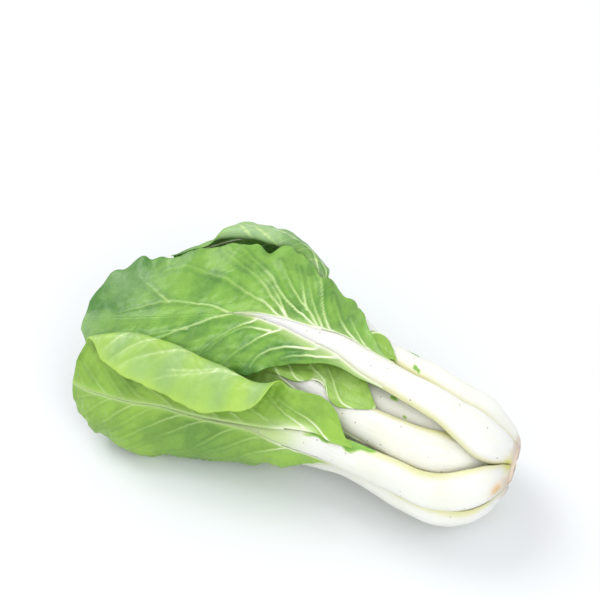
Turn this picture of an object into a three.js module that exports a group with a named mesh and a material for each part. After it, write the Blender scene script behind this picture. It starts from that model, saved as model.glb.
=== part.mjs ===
// A head of white-stalked pak choi lying on its side, in millimetres, +Z up.
// The cut end points to +X and the leaf tips to -X. Every leaf is two pieces: a white stalk that
// runs on as the raised midrib, and a green blade that hangs on the stalk's two edges and passes
// under the midrib.
//
// All pieces are placed on one lying body. "Reach" is the distance from the cut end, "turn" is the
// angle round the body (0 on top, 90 towards the front, -90 towards the back), and "depth" is how
// far a point lies inside the body's skin. Blades that overlap keep different depths.

import * as THREE from "three";

// Driving dimensions
const CUT_X = 148;
const CLEARANCE = 0.45;
const BLADE_THICKNESS = 0.8;
const STALK_SIDES = 12;
const STALK_RINGS = 9;
const FLOOR_BLEND = 5;
const CORE_LENGTH = 30;
const CORE_RADIUS = 11.5;
const FOLD_RADIUS = 4.5;
const JOIN_LENGTH = 30;
const WING_SHARE = 0.34;

// The lying body: reach, middle in Y, middle in Z, long radius, short radius, tilt in degrees
const BODY = [
  [0, 0, 45, 17, 17, 40],
  [3, 0, 45, 22.5, 22.5, 40],
  [7, -0.5, 44.7, 28.5, 28.5, 40],
  [13, -1, 44.5, 34.5, 34, 40],
  [23, -2.5, 44.2, 41.5, 40.5, 40],
  [38, -4, 44.2, 46.5, 45, 40],
  [50, -3.5, 45.2, 49.5, 47.5, 38],
  [63, -1.5, 46, 51, 48.5, 34],
  [80, 1, 46.8, 50, 48, 28],
  [103, 6, 48.2, 52, 45.5, 22],
  [138, 14, 49, 60, 43, 20],
  [165, 19, 50, 70, 40, 24],
  [193, 20, 50, 76, 38, 26],
  [223, 15, 49, 76, 36, 28],
  [248, 4, 47.5, 69, 34, 30],
  [275, 0, 46, 57, 30, 32],
  [300, -1, 45, 40, 24, 32],
];

// Share of the body's radius that each ring of leaves keeps: reach, share
const OUTER_RING = [
  [0, 1],
  [300, 1],
];
const INNER_RING = [
  [14, 0.56],
  [22, 0.64],
  [40, 0.72],
  [130, 0.72],
  [200, 0.66],
  [300, 0.6],
];
const HEART_RING = [
  [20, 0.36],
  [60, 0.38],
  [120, 0.42],
  [200, 0.34],
  [300, 0.3],
];

// Stalks: reach, half width, thickness, hollow of the section
const OUTER_STALK = [
  [0, 7, 4, 0.6],
  [5, 11.5, 5, 1.2],
  [12, 16, 6.5, 2.4],
  [23, 18.5, 8, 3.6],
  [36, 16.5, 9, 3.6],
  [50, 14, 9.5, 3.2],
  [80, 12.5, 9, 2.8],
  [105, 11.5, 7.5, 2.4],
  [125, 9.2, 6, 1.6],
  [140, 7, 5, 0.8],
  [160, 4.4, 3.6, 0],
  [182, 2.6, 2.4, 0],
  [220, 1.6, 1.6, 0],
  [300, 1, 1.1, 0],
];
const INNER_STALK = [
  [14, 6, 3.5, 1],
  [22, 9, 5, 1.5],
  [40, 11.5, 7, 2.4],
  [60, 12, 7.5, 2.4],
  [90, 11, 6.5, 2],
  [110, 9, 5, 1.4],
  [130, 6.5, 3.8, 0.6],
  [160, 3.4, 2.4, 0],
  [200, 1.8, 1.4, 0],
  [300, 1, 1, 0],
];
const HEART_STALK = [
  [22, 3.5, 2.6, 0.4],
  [40, 5.5, 4, 0.8],
  [80, 5.5, 4, 0.8],
  [110, 4.2, 3, 0.4],
  [150, 2.4, 2, 0],
  [300, 1, 1, 0],
];

// The leaves. spine: reach, turn, depth of the stalk's outer face. wing: reach where the blade
// starts. joined: reach where its halves meet under the midrib. plus is the half towards larger
// turn, minus the other one. half: widest half width, widest: share of the blade's length where
// that is, edge: change of depth from midrib to margin, ruffle: height of the margin's waves,
// waves: their number, shift: their phase.
const LEAVES = [
  {
    name: "top_leaf",
    ring: OUTER_RING,
    stalk: OUTER_STALK,
    wide: 1,
    color: 0x7fb548,
    spine: [
      [0, 13, 0],
      [12, 14.5, 0],
      [22, 10.5, 0],
      [32, 4.5, 0],
      [46, -0.5, 0],
      [62, -1.5, 0],
      [82, -4.5, 0],
      [106, -6, 0],
      [126, -8, -0.5],
      [142, -5, -0.5],
      [168, -3, 0],
      [192, -2, 0.6],
      [220, 3, 1],
      [252, 1, 1],
      [298, 8, 1],
    ],
    wing: 88,
    joined: 140,
    tip: 299,
    rows: 20,
    plus: {
      edge: 3.2,
      ruffle: 0.6,
      waves: 6,
      shift: 0.4,
      columns: 4,
      span: [
        [88, 1],
        [104, 2.5],
        [120, 5],
        [132, 9],
        [144, 15],
        [158, 24],
        [164, 29],
        [172, 37],
        [190, 44.5],
        [206, 46.5],
        [220, 46],
        [250, 43],
        [274, 33],
        [290, 18],
        [299, 5],
      ],
    },
    minus: {
      edge: -10,
      ruffle: 3,
      waves: 7,
      shift: 1.1,
      columns: 5,
      span: [
        [88, 1],
        [100, 6],
        [116, 19],
        [134, 33],
        [144, 35],
        [150, 32],
        [158, 37],
        [166, 43.6],
        [176, 48.5],
        [186, 47.5],
        [196, 43.5],
        [208, 41],
        [220, 42.5],
        [232, 44],
        [241, 38.5],
        [252, 35.5],
        [262, 36],
        [272, 35],
        [284, 31],
        [293, 21],
        [299, 8],
      ],
    },
  },
  {
    name: "front_leaf",
    ring: OUTER_RING,
    stalk: OUTER_STALK,
    wide: 1.08,
    color: 0x9ac050,
    spine: [
      [0, 72, -1],
      [12, 76.5, -3],
      [24, 80, -1.2],
      [35, 82, 0],
      [50, 81, 0],
      [64, 79.5, 0],
      [82, 80.5, 0],
      [105, 82, 0],
      [120, 82, 0],
      [152, 86, 0],
      [202, 91, 1],
      [258, 88, 1],
      [292, 95, 1],
    ],
    wing: 96,
    joined: 142,
    tip: 294,
    rows: 20,
    plus: { half: 50, widest: 0.55, edge: -2, ruffle: 1.6, waves: 4, shift: 2.2, columns: 4 },
    minus: {
      edge: -3,
      ruffle: 1.2,
      waves: 4,
      shift: 0.8,
      columns: 11,
      span: [
        [96, 1],
        [104, 6],
        [112, 17],
        [122, 24],
        [136, 27],
        [150, 30],
        [160, 44],
        [170, 50],
        [180, 56],
        [190, 65],
        [204, 69.5],
        [216, 72],
        [240, 74],
        [252, 72],
        [262, 67],
        [272, 59],
        [280, 47],
        [287, 36],
        [294, 12],
      ],
      fold: [
        [96, 44],
        [122, 36],
        [136, 33],
        [150, 29.5],
        [163, 25.5],
        [172, 26],
        [181, 29],
        [191, 32.5],
        [204, 35],
        [228, 38.5],
        [254, 40],
        [272, 36],
        [282, 32],
        [294, 24],
      ],
    },
  },
  {
    name: "low_front_leaf",
    ring: OUTER_RING,
    stalk: OUTER_STALK,
    wide: 1.15,
    color: 0x86b648,
    spine: [
      [0, 130, -1.5],
      [6, 132, -3.6],
      [12, 134.5, -4.8],
      [24, 135.5, -3.5],
      [36, 127, -1],
      [50, 119, 1.5],
      [66, 115, 3],
      [90, 115, 5],
      [110, 122, 6.5],
      [130, 131, 4],
      [150, 136, 1.5],
      [180, 137, 1],
      [230, 134, 1],
      [276, 130, 1],
    ],
    wing: 96,
    joined: 140,
    tip: 272,
    rows: 16,
    plus: { half: 36, widest: 0.6, edge: 3, ruffle: 0.6, waves: 4, shift: 0.2, columns: 4 },
    minus: { half: 40, widest: 0.6, edge: 3, ruffle: 0.6, waves: 4, shift: 1.9, columns: 4 },
  },
  {
    name: "under_leaf",
    ring: OUTER_RING,
    stalk: OUTER_STALK,
    wide: 1.1,
    color: 0x7aac44,
    spine: [
      [0, -166, 0],
      [12, -169, -1],
      [24, -167, -2],
      [40, -165.5, -2],
      [60, -166, -2],
      [100, -170, -1],
      [150, -173, 0],
      [200, -174, 1],
      [280, -176, 1],
    ],
    wing: 98,
    joined: 142,
    tip: 282,
    rows: 16,
    plus: { half: 48, widest: 0.56, edge: 3, ruffle: 0.6, waves: 4, shift: 1.2, columns: 4 },
    minus: { half: 33, widest: 0.6, edge: -2, ruffle: 0.6, waves: 4, shift: 0.1, columns: 4 },
  },
  {
    name: "back_leaf",
    ring: OUTER_RING,
    stalk: OUTER_STALK,
    wide: 1,
    color: 0x6fa53e,
    spine: [
      [0, -105, 0],
      [24, -110, 0],
      [60, -106, 0],
      [100, -104, 0],
      [150, -106, 0],
      [200, -110, 1],
      [270, -112, 1],
    ],
    wing: 92,
    joined: 138,
    tip: 264,
    rows: 16,
    plus: { half: 48, widest: 0.56, edge: 3, ruffle: 0.6, waves: 4, shift: 0.9, columns: 4 },
    minus: { half: 38, widest: 0.6, edge: -2, ruffle: 1.4, waves: 5, shift: 2.1, columns: 4 },
  },
  {
    name: "high_back_leaf",
    ring: OUTER_RING,
    stalk: OUTER_STALK,
    wide: 1.2,
    color: 0x5f9a3c,
    spine: [
      [0, -46, 1],
      [12, -47, 4],
      [24, -47.2, 2.5],
      [36, -42.8, 2],
      [50, -39.2, 2.5],
      [64, -38.4, 2],
      [82, -42, 1],
      [104, -48, 1.5],
      [120, -52, 0],
      [140, -56, -2],
      [180, -64, -5.1],
      [212, -66, -7.2],
      [240, -65, -7],
      [262, -62, -5],
    ],
    wing: 88,
    joined: 134,
    tip: 262,
    rows: 18,
    plus: {
      edge: 3,
      ruffle: 1,
      waves: 4,
      shift: 0.6,
      columns: 9,
      span: [
        [88, 1],
        [104, 8],
        [120, 13],
        [136, 15],
        [147, 15],
        [152, 19],
        [160, 24],
        [170, 27.5],
        [180, 32],
        [190, 38],
        [200, 41],
        [212, 42],
        [222, 40],
        [229, 33],
        [236, 22],
        [246, 17],
        [256, 11],
        [262, 4],
      ],
      fold: [
        [88, 40],
        [120, 30],
        [140, 20],
        [148, 12],
        [153, 3.4],
        [160, 3],
        [170, 4.5],
        [180, 9.5],
        [190, 14],
        [200, 17],
        [212, 19],
        [222, 19],
        [232, 18],
        [240, 20],
        [262, 20],
      ],
    },
    minus: { half: 50, widest: 0.58, edge: -5, ruffle: 3, waves: 5, shift: 1.4, columns: 4 },
  },
  {
    name: "inner_front_leaf",
    ring: INNER_RING,
    stalk: INNER_STALK,
    wide: 1.22,
    color: 0x8fbe52,
    spine: [
      [14, 46, 0],
      [40, 44, -1],
      [60, 46.5, -2],
      [90, 48, -2],
      [112, 51, -1],
      [132, 45, 0],
      [160, 42, 0],
      [240, 44, 0],
    ],
    wing: 90,
    joined: 138,
    tip: 246,
    rows: 16,
    plus: { half: 34, widest: 0.55, edge: -1, ruffle: 0.8, waves: 3, shift: 0.4, columns: 3 },
    minus: {
      edge: -4,
      ruffle: 1.6,
      waves: 6,
      shift: 1.3,
      columns: 4,
      span: [
        [90, 2],
        [95, 9],
        [102, 17],
        [112, 21],
        [124, 23.5],
        [160, 26],
        [210, 24],
        [240, 9],
        [246, 2],
      ],
    },
  },
  {
    name: "inner_top_leaf",
    ring: INNER_RING,
    stalk: INNER_STALK,
    wide: 1,
    color: 0x86b84c,
    spine: [
      [14, 0, 1],
      [40, 2, 4],
      [60, 6, 5.5],
      [90, 10, 5.5],
      [130, 8, 5.5],
      [200, -8, 6],
      [270, -14, 6],
    ],
    wing: 104,
    joined: 142,
    tip: 268,
    rows: 13,
    plus: { half: 30, widest: 0.55, edge: 1, ruffle: 0.6, waves: 3, shift: 0.1, columns: 3 },
    minus: { half: 32, widest: 0.55, edge: 0, ruffle: 0.6, waves: 3, shift: 2, columns: 3 },
  },
  {
    name: "inner_back_leaf",
    ring: INNER_RING,
    stalk: INNER_STALK,
    wide: 1,
    color: 0x5d9440,
    spine: [
      [14, -60, 0],
      [60, -60, 0],
      [130, -62, 7],
      [200, -66, 11],
      [290, -66, 10],
    ],
    wing: 104,
    joined: 142,
    tip: 280,
    rows: 13,
    plus: { half: 34, widest: 0.6, edge: 1, ruffle: 0.6, waves: 3, shift: 0.8, columns: 3 },
    minus: { half: 34, widest: 0.6, edge: 0, ruffle: 0.6, waves: 3, shift: 1.7, columns: 3 },
  },
  {
    name: "inner_low_leaf",
    ring: INNER_RING,
    stalk: INNER_STALK,
    wide: 1,
    color: 0x7eb04a,
    spine: [
      [14, -130, 0],
      [60, -130, 0],
      [130, -134, 1],
      [200, -138, 1],
      [290, -140, 1],
    ],
    wing: 104,
    joined: 142,
    tip: 252,
    rows: 13,
    plus: { half: 34, widest: 0.56, edge: 0, ruffle: 0.6, waves: 3, shift: 0.2, columns: 3 },
    minus: { half: 34, widest: 0.56, edge: 0, ruffle: 0.6, waves: 3, shift: 1.1, columns: 3 },
  },
  {
    name: "inner_under_leaf",
    ring: INNER_RING,
    stalk: INNER_STALK,
    wide: 1,
    color: 0x88b84e,
    spine: [
      [14, 148, 0],
      [60, 146, 0],
      [130, 142, 3],
      [200, 138, 4],
      [290, 136, 4],
    ],
    wing: 104,
    joined: 142,
    tip: 258,
    rows: 13,
    plus: { half: 32, widest: 0.56, edge: 0, ruffle: 0.6, waves: 3, shift: 0.9, columns: 3 },
    minus: { half: 32, widest: 0.56, edge: 0, ruffle: 0.6, waves: 3, shift: 0.5, columns: 3 },
  },
  {
    name: "heart_leaf_high",
    ring: HEART_RING,
    stalk: HEART_STALK,
    wide: 1,
    color: 0x9cc860,
    spine: [
      [22, 20, 0],
      [60, 10, 0],
      [130, 0, 0],
      [240, 0, 0],
    ],
    wing: 96,
    joined: 128,
    tip: 214,
    rows: 11,
    plus: { half: 20, widest: 0.56, edge: 0, ruffle: 0.4, waves: 3, shift: 0.2, columns: 3 },
    minus: { half: 20, widest: 0.56, edge: 0, ruffle: 0.4, waves: 3, shift: 1.5, columns: 3 },
  },
  {
    name: "heart_leaf_low",
    ring: HEART_RING,
    stalk: HEART_STALK,
    wide: 1,
    color: 0xa4cc66,
    spine: [
      [22, -160, 0],
      [60, -168, 0],
      [130, -176, 0],
      [240, -180, 0],
    ],
    wing: 92,
    joined: 124,
    tip: 200,
    rows: 11,
    plus: { half: 18, widest: 0.56, edge: 0, ruffle: 0.4, waves: 3, shift: 0.7, columns: 3 },
    minus: { half: 18, widest: 0.56, edge: 0, ruffle: 0.4, waves: 3, shift: 1.2, columns: 3 },
  },
];

// Smooth value of one column of a table at a reach
function along(table, reach, column) {
  const last = table.length - 1;
  const at = Math.min(Math.max(reach, table[0][0]), table[last][0]);
  let i = 0;
  while (i < last - 1 && table[i + 1][0] <= at) i++;
  const rise = (k) => (table[k + 1][column] - table[k][column]) / (table[k + 1][0] - table[k][0]);
  const slope = (k) => {
    if (k === 0) return rise(0);
    if (k === last) return rise(last - 1);
    const before = table[k][0] - table[k - 1][0];
    const after = table[k + 1][0] - table[k][0];
    return (rise(k - 1) * after + rise(k) * before) / (before + after);
  };
  const span = table[i + 1][0] - table[i][0];
  const u = (at - table[i][0]) / span;
  const start = (2 * u ** 3 - 3 * u ** 2 + 1) * table[i][column];
  const end = (3 * u ** 2 - 2 * u ** 3) * table[i + 1][column];
  const bend = (u ** 3 - 2 * u ** 2 + u) * slope(i) + (u ** 3 - u ** 2) * slope(i + 1);
  return start + end + bend * span;
}

// Height of a point that the floor presses up: the lower it would hang, the more it is raised
function settled(z) {
  return z > FLOOR_BLEND ? z : FLOOR_BLEND * Math.exp((z - FLOOR_BLEND) / FLOOR_BLEND);
}

// The point at a reach, turn (radians) and depth of a ring
function place(ring, reach, turn, depth) {
  const tilt = THREE.MathUtils.degToRad(along(BODY, reach, 5));
  const y = -Math.sin(turn);
  const z = Math.cos(turn);
  const long = (y * Math.cos(tilt) + z * Math.sin(tilt)) / along(BODY, reach, 3);
  const short = (z * Math.cos(tilt) - y * Math.sin(tilt)) / along(BODY, reach, 4);
  const radius = along(ring, reach, 1) / Math.hypot(long, short) - depth;
  const height = along(BODY, reach, 2) + radius * z;
  return new THREE.Vector3(CUT_X - reach, along(BODY, reach, 1) + radius * y, settled(height));
}

// The point that lies a distance sideways of a leaf's spine, measured round the body
function beside(leaf, reach, sideways, depth) {
  const skin = along(leaf.spine, reach, 2);
  const steps = Math.max(1, Math.ceil(Math.abs(sideways) / 4));
  let turn = THREE.MathUtils.degToRad(along(leaf.spine, reach, 1));
  for (let i = 0; i < steps; i++) {
    const here = place(leaf.ring, reach, turn, skin);
    const speed = here.distanceTo(place(leaf.ring, reach, turn + 0.01, skin)) / 0.01;
    turn += sideways / steps / speed;
  }
  return place(leaf.ring, reach, turn, depth);
}

// How far the stalk has turned from a hollow petiole (0) into a flat-backed midrib (1)
function ribbed(leaf, reach) {
  return THREE.MathUtils.smoothstep(reach, leaf.joined - JOIN_LENGTH, leaf.joined);
}

function stalkSize(leaf, reach) {
  return {
    half: along(leaf.stalk, reach, 1) * leaf.wide,
    thick: along(leaf.stalk, reach, 2),
    hollow: along(leaf.stalk, reach, 3),
    skin: along(leaf.spine, reach, 2),
    rib: ribbed(leaf, reach),
  };
}

// Reaches of the blade's rows: closer together towards the round tip
function bladeRows(leaf) {
  const rows = [];
  for (let i = 0; i <= leaf.rows; i++) {
    const share = 1 - (1 - i / leaf.rows) ** 1.3;
    rows.push(leaf.wing + (leaf.tip - 0.8 - leaf.wing) * share);
  }
  return rows;
}

// A closed mesh with its faces turned outwards
function closedGeometry(points, triangles) {
  let volume = 0;
  for (const [a, b, c] of triangles) {
    volume += points[a].dot(new THREE.Vector3().crossVectors(points[b], points[c]));
  }
  const turned = volume < 0 ? triangles.map(([a, b, c]) => [a, c, b]) : triangles;
  const geometry = new THREE.BufferGeometry();
  geometry.setAttribute(
    "position",
    new THREE.Float32BufferAttribute(points.flatMap((p) => p.toArray()), 3),
  );
  geometry.setIndex(turned.flat());
  return geometry;
}

// Petiole and midrib of a leaf: rings of a crescent that flattens into a rib. No point lies below
// the rest height, so a stalk under the head is pressed flat there.
function stalkGeometry(leaf, restHeight) {
  const start = leaf.stalk[0][0];
  const rows = bladeRows(leaf);
  const reaches = [];
  for (let i = 0; i < STALK_RINGS; i++) {
    reaches.push(start + (leaf.wing - start) * (i / STALK_RINGS) ** 1.35);
  }
  reaches.push(...rows.slice(0, -2));
  const points = [];
  for (const reach of reaches) {
    const { half, thick, hollow, skin, rib } = stalkSize(leaf, reach);
    for (let k = 0; k < STALK_SIDES; k++) {
      const angle = (2 * Math.PI * k) / STALK_SIDES;
      const across = Math.cos(angle);
      const round = Math.abs(Math.sin(angle));
      const cup = skin + hollow * across ** 2 * (1 - rib);
      const outer = (1 - round) * (thick / 2) * (1 - rib) + (1 - round) * thick * rib;
      const inner = (1 + round) * (thick / 2) * (1 - rib) + thick * rib;
      const point = beside(leaf, reach, across * half, cup + (k <= STALK_SIDES / 2 ? outer : inner));
      point.z = Math.max(point.z, restHeight);
      points.push(point);
    }
  }
  const triangles = [];
  const ring = (i, k) => i * STALK_SIDES + (k % STALK_SIDES);
  for (let i = 0; i < reaches.length - 1; i++) {
    for (let k = 0; k < STALK_SIDES; k++) {
      triangles.push([ring(i, k), ring(i, k + 1), ring(i + 1, k + 1)]);
      triangles.push([ring(i, k), ring(i + 1, k + 1), ring(i + 1, k)]);
    }
  }
  for (const [i, end] of [
    [0, -1],
    [reaches.length - 1, 1],
  ]) {
    const middle = new THREE.Vector3();
    for (let k = 0; k < STALK_SIDES; k++) middle.add(points[ring(i, k)]);
    points.push(middle.divideScalar(STALK_SIDES));
    for (let k = 0; k < STALK_SIDES; k++) {
      const edge = [ring(i, k), ring(i, k + 1)];
      triangles.push([...(end > 0 ? edge : edge.reverse()), points.length - 1]);
    }
  }
  return closedGeometry(points, triangles);
}

// Width of one half of a blade at a reach
function halfWidth(leaf, half, reach) {
  if (half.span) return along(half.span, reach, 1);
  const p = (reach - leaf.wing) / (leaf.tip - leaf.wing);
  const fall = 0.5;
  const climb = (fall * half.widest) / (1 - half.widest);
  const peak = half.widest ** climb * (1 - half.widest) ** fall;
  const bay = 1 + 0.05 * Math.sin(9 * p + half.shift) + 0.035 * Math.sin(23 * p + 2 * half.shift);
  const wing = THREE.MathUtils.smoothstep(p, -0.02, WING_SHARE);
  return 0.6 + (half.half * wing * bay * p ** climb * (1 - p) ** fall) / peak;
}

// One point of a half blade: share 0 at the midrib, 1 at the margin
function halfPoint(leaf, half, side, reach, share) {
  const { half: stalkHalf, thick, hollow, skin, rib } = stalkSize(leaf, reach);
  const root = skin + (hollow + thick / 2) * (1 - rib) + (thick + CLEARANCE + 0.4) * rib;
  const width = halfWidth(leaf, half, reach) * share;
  let out = stalkHalf + CLEARANCE + 0.3 + width;
  const p = (reach - leaf.wing) / (leaf.tip - leaf.wing);
  const wave = 0.5 + 0.5 * Math.sin(2 * Math.PI * half.waves * p + half.shift);
  const grown = Math.min(1, width / 25);
  let depth = root + (half.edge * share ** 1.5 - half.ruffle * wave * share ** 2) * grown;
  if (half.fold) {
    const crease = along(half.fold, reach, 1);
    const past = width - crease;
    const bend = Math.PI * FOLD_RADIUS;
    if (past > 0) {
      const angle = Math.min(past / FOLD_RADIUS, Math.PI);
      const back = Math.max(0, past - bend);
      out += FOLD_RADIUS * Math.sin(angle) - past - back;
      depth -= FOLD_RADIUS * (1 - Math.cos(angle)) + 0.12 * back;
    }
  }
  return beside(leaf, reach, side * out, depth);
}

// A thin sheet through a grid of points, closed round its edge and split alike on both faces
function sheetGeometry(grid, cells) {
  const normals = grid.map(() => new THREE.Vector3());
  const top = [];
  for (const [a, b, c, d] of cells) {
    const shortWay = grid[a].distanceTo(grid[c]) <= grid[b].distanceTo(grid[d]);
    top.push(...(shortWay ? [[a, b, c], [a, c, d]] : [[a, b, d], [b, c, d]]));
  }
  for (const [a, b, c] of top) {
    const ab = new THREE.Vector3().subVectors(grid[b], grid[a]);
    const ac = new THREE.Vector3().subVectors(grid[c], grid[a]);
    const normal = ab.cross(ac);
    for (const k of [a, b, c]) normals[k].add(normal);
  }
  const used = [...new Set(top.flat())];
  const index = new Map(used.map((k, i) => [k, i]));
  const points = [];
  for (const side of [0.5, -0.5]) {
    for (const k of used) {
      const shift = normals[k].clone().normalize().multiplyScalar(side * BLADE_THICKNESS);
      points.push(grid[k].clone().add(shift));
    }
  }
  const under = used.length;
  const triangles = [];
  const edges = new Map();
  for (const corner of top) {
    const [a, b, c] = corner.map((k) => index.get(k));
    triangles.push([a, b, c], [a + under, c + under, b + under]);
    for (const [from, to] of [[a, b], [b, c], [c, a]]) edges.set(from + "," + to, [from, to]);
  }
  for (const [from, to] of edges.values()) {
    if (edges.has(to + "," + from)) continue;
    triangles.push([to, from, from + under], [to, from + under, to + under]);
  }
  return closedGeometry(points, triangles);
}

// Blade of a leaf: both halves, joined under the midrib from "joined" to the tip
function bladeGeometry(leaf) {
  const rows = bladeRows(leaf);
  const grid = [];
  const cells = [];
  const wide = leaf.minus.columns + leaf.plus.columns + 3;
  for (const reach of rows) {
    const { thick, skin } = stalkSize(leaf, reach);
    for (let k = leaf.minus.columns; k >= 0; k--) {
      grid.push(halfPoint(leaf, leaf.minus, -1, reach, k / leaf.minus.columns));
    }
    grid.push(beside(leaf, reach, 0, skin + thick + CLEARANCE + 0.4));
    for (let k = 0; k <= leaf.plus.columns; k++) {
      grid.push(halfPoint(leaf, leaf.plus, 1, reach, k / leaf.plus.columns));
    }
  }
  const middle = leaf.minus.columns + 1;
  for (let i = 0; i < rows.length - 1; i++) {
    for (let k = 0; k < wide - 1; k++) {
      if (rows[i] < leaf.joined && (k === middle - 1 || k === middle)) continue;
      const a = i * wide + k;
      cells.push([a, a + 1, a + wide + 1, a + wide]);
    }
  }
  return sheetGeometry(grid, cells);
}

// The short stem inside the stalks: flat at the cut, rounded at its inner end
function coreGeometry() {
  const profile = [new THREE.Vector2(0, 0), new THREE.Vector2(CORE_RADIUS, 0)];
  for (const [height, share] of [
    [0.35, 0.92],
    [0.65, 0.7],
    [0.88, 0.4],
  ]) {
    profile.push(new THREE.Vector2(CORE_RADIUS * share, CORE_LENGTH * height));
  }
  profile.push(new THREE.Vector2(0, CORE_LENGTH));
  return new THREE.LatheGeometry(profile, 20);
}

const bunch = new THREE.Group();
const stalkMaterial = () =>
  new THREE.MeshStandardMaterial({ color: 0xf2f4e6, roughness: 0.42, metalness: 0 });

for (const leaf of LEAVES) {
  const blade = new THREE.Mesh(
    bladeGeometry(leaf),
    new THREE.MeshStandardMaterial({ color: leaf.color, roughness: 0.45, metalness: 0 }),
  );
  blade.name = leaf.name + "_blade";
  bunch.add(blade);
}

// The lowest leaf edge sets the rest height, and the stalks under the head are flat there
const restHeight = new THREE.Box3().setFromObject(bunch).min.z;
for (const leaf of LEAVES) {
  const stalk = new THREE.Mesh(stalkGeometry(leaf, restHeight), stalkMaterial());
  stalk.name = leaf.name + "_stalk";
  bunch.add(stalk);
}

const core = new THREE.Mesh(
  coreGeometry(),
  new THREE.MeshStandardMaterial({ color: 0xe3cdb4, roughness: 0.7, metalness: 0 }),
);
core.name = "cut_stem";
core.rotation.z = Math.PI / 2;
core.position.set(CUT_X, along(BODY, 0, 1), along(BODY, 0, 2));
bunch.add(core);

// Origin: on the floor, under the middle of the head
const box = new THREE.Box3().setFromObject(bunch);
const middle = box.getCenter(new THREE.Vector3());
bunch.position.set(-middle.x, -middle.y, -box.min.z);

export default bunch;
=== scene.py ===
# %% [markdown]
# # A head of bok choy, lying on its side
#
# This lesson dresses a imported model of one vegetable: a head with thick white stalks and broad
# green leaves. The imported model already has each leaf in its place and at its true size. Here
# each stalk and each blade is made again with a fine mesh, and then gets its veins, its waves and
# its colours.

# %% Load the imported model
import math
from types import SimpleNamespace

import bpy
import numpy as np
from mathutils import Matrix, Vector


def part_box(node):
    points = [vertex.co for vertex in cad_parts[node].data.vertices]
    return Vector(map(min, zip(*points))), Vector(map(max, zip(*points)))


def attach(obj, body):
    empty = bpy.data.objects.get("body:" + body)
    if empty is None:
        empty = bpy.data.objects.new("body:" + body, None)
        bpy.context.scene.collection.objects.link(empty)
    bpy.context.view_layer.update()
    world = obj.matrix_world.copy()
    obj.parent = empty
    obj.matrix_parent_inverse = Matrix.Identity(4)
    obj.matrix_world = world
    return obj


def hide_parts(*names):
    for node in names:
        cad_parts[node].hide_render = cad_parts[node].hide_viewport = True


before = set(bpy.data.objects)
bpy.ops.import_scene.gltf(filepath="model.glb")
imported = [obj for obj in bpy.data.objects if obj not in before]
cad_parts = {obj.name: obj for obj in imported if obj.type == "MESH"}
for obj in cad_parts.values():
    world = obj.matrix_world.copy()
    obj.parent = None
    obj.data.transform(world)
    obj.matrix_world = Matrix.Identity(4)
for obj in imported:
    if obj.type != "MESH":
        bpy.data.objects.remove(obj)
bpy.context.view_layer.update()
print("packed nodes:", len(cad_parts))

# %% [markdown]
# ## The camera
#
# The picture looks down on the head from the front, about halfway up to overhead. The cut face of
# the stem is the easiest point to find in a picture, so the camera is placed from there. A long
# lens keeps the far leaves from shrinking.

# %% Place the camera
SENSOR_MM = 36
FOCAL_PIXELS = 1777
PICTURE_PIXELS = 600
AZIMUTH, ELEVATION = math.radians(21), math.radians(48)
FROM_CUT_FACE = Vector((0.116, -0.6819, 0.910))

stem_low, stem_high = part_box("cut_stem")
cut_face = Vector((stem_high.x, (stem_low.y + stem_high.y) / 2, (stem_low.z + stem_high.z) / 2))
towards_camera = Vector(
    (
        math.sin(AZIMUTH) * math.cos(ELEVATION),
        -math.cos(AZIMUTH) * math.cos(ELEVATION),
        math.sin(ELEVATION),
    )
)
camera = bpy.data.objects.new("camera", bpy.data.cameras.new("camera"))
camera.data.sensor_width = SENSOR_MM
camera.data.lens = SENSOR_MM * FOCAL_PIXELS / PICTURE_PIXELS
camera.data.clip_start, camera.data.clip_end = 0.05, 20
camera.location = cut_face + FROM_CUT_FACE
camera.rotation_mode = "QUATERNION"
camera.rotation_quaternion = (-towards_camera).to_track_quat("-Z", "Y")
bpy.context.scene.collection.objects.link(camera)
bpy.context.scene.camera = camera
print("lens in mm:", round(camera.data.lens, 1))

# %% [markdown]
# ## One body for all leaves
#
# The leaves of a head press on each other, so they all follow one closed form: a bulb at the
# stalks that widens into a loose tuft. Every point is given by its reach (distance from the cut,
# in mm), its turn (angle round the body, 0 on top, positive towards the front) and its depth
# inside the skin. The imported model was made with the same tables, so the fine pieces land exactly
# on its nodes.

# %% Tables of the lying body and of its rings of leaves
CUT_X = 148.0
CUT_Z = 45.0
FLOOR_BLEND = 5.0
MM = 0.001

# reach, middle in Y, middle in Z, long radius, short radius, tilt in degrees
BODY = np.array([
    [0, 0, 45, 17, 17, 40], [3, 0, 45, 22.5, 22.5, 40], [7, -0.5, 44.7, 28.5, 28.5, 40],
    [13, -1, 44.5, 34.5, 34, 40], [23, -2.5, 44.2, 41.5, 40.5, 40], [38, -4, 44.2, 46.5, 45, 40],
    [50, -3.5, 45.2, 49.5, 47.5, 38], [63, -1.5, 46, 51, 48.5, 34], [80, 1, 46.8, 50, 48, 28],
    [103, 6, 48.2, 52, 45.5, 22], [138, 14, 49, 60, 43, 20], [165, 19, 50, 70, 40, 24],
    [193, 20, 50, 76, 38, 26], [223, 15, 49, 76, 36, 28], [248, 4, 47.5, 69, 34, 30],
    [275, 0, 46, 57, 30, 32], [300, -1, 45, 40, 24, 32],
], float)

# reach, share of the body's radius
RINGS = {
    "outer": np.array([[0, 1], [300, 1]], float),
    "inner": np.array([
        [14, 0.56], [22, 0.64], [40, 0.72], [130, 0.72], [200, 0.66], [300, 0.6],
    ], float),
    "heart": np.array([[20, 0.36], [60, 0.38], [120, 0.42], [200, 0.34], [300, 0.3]], float),
}

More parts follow.
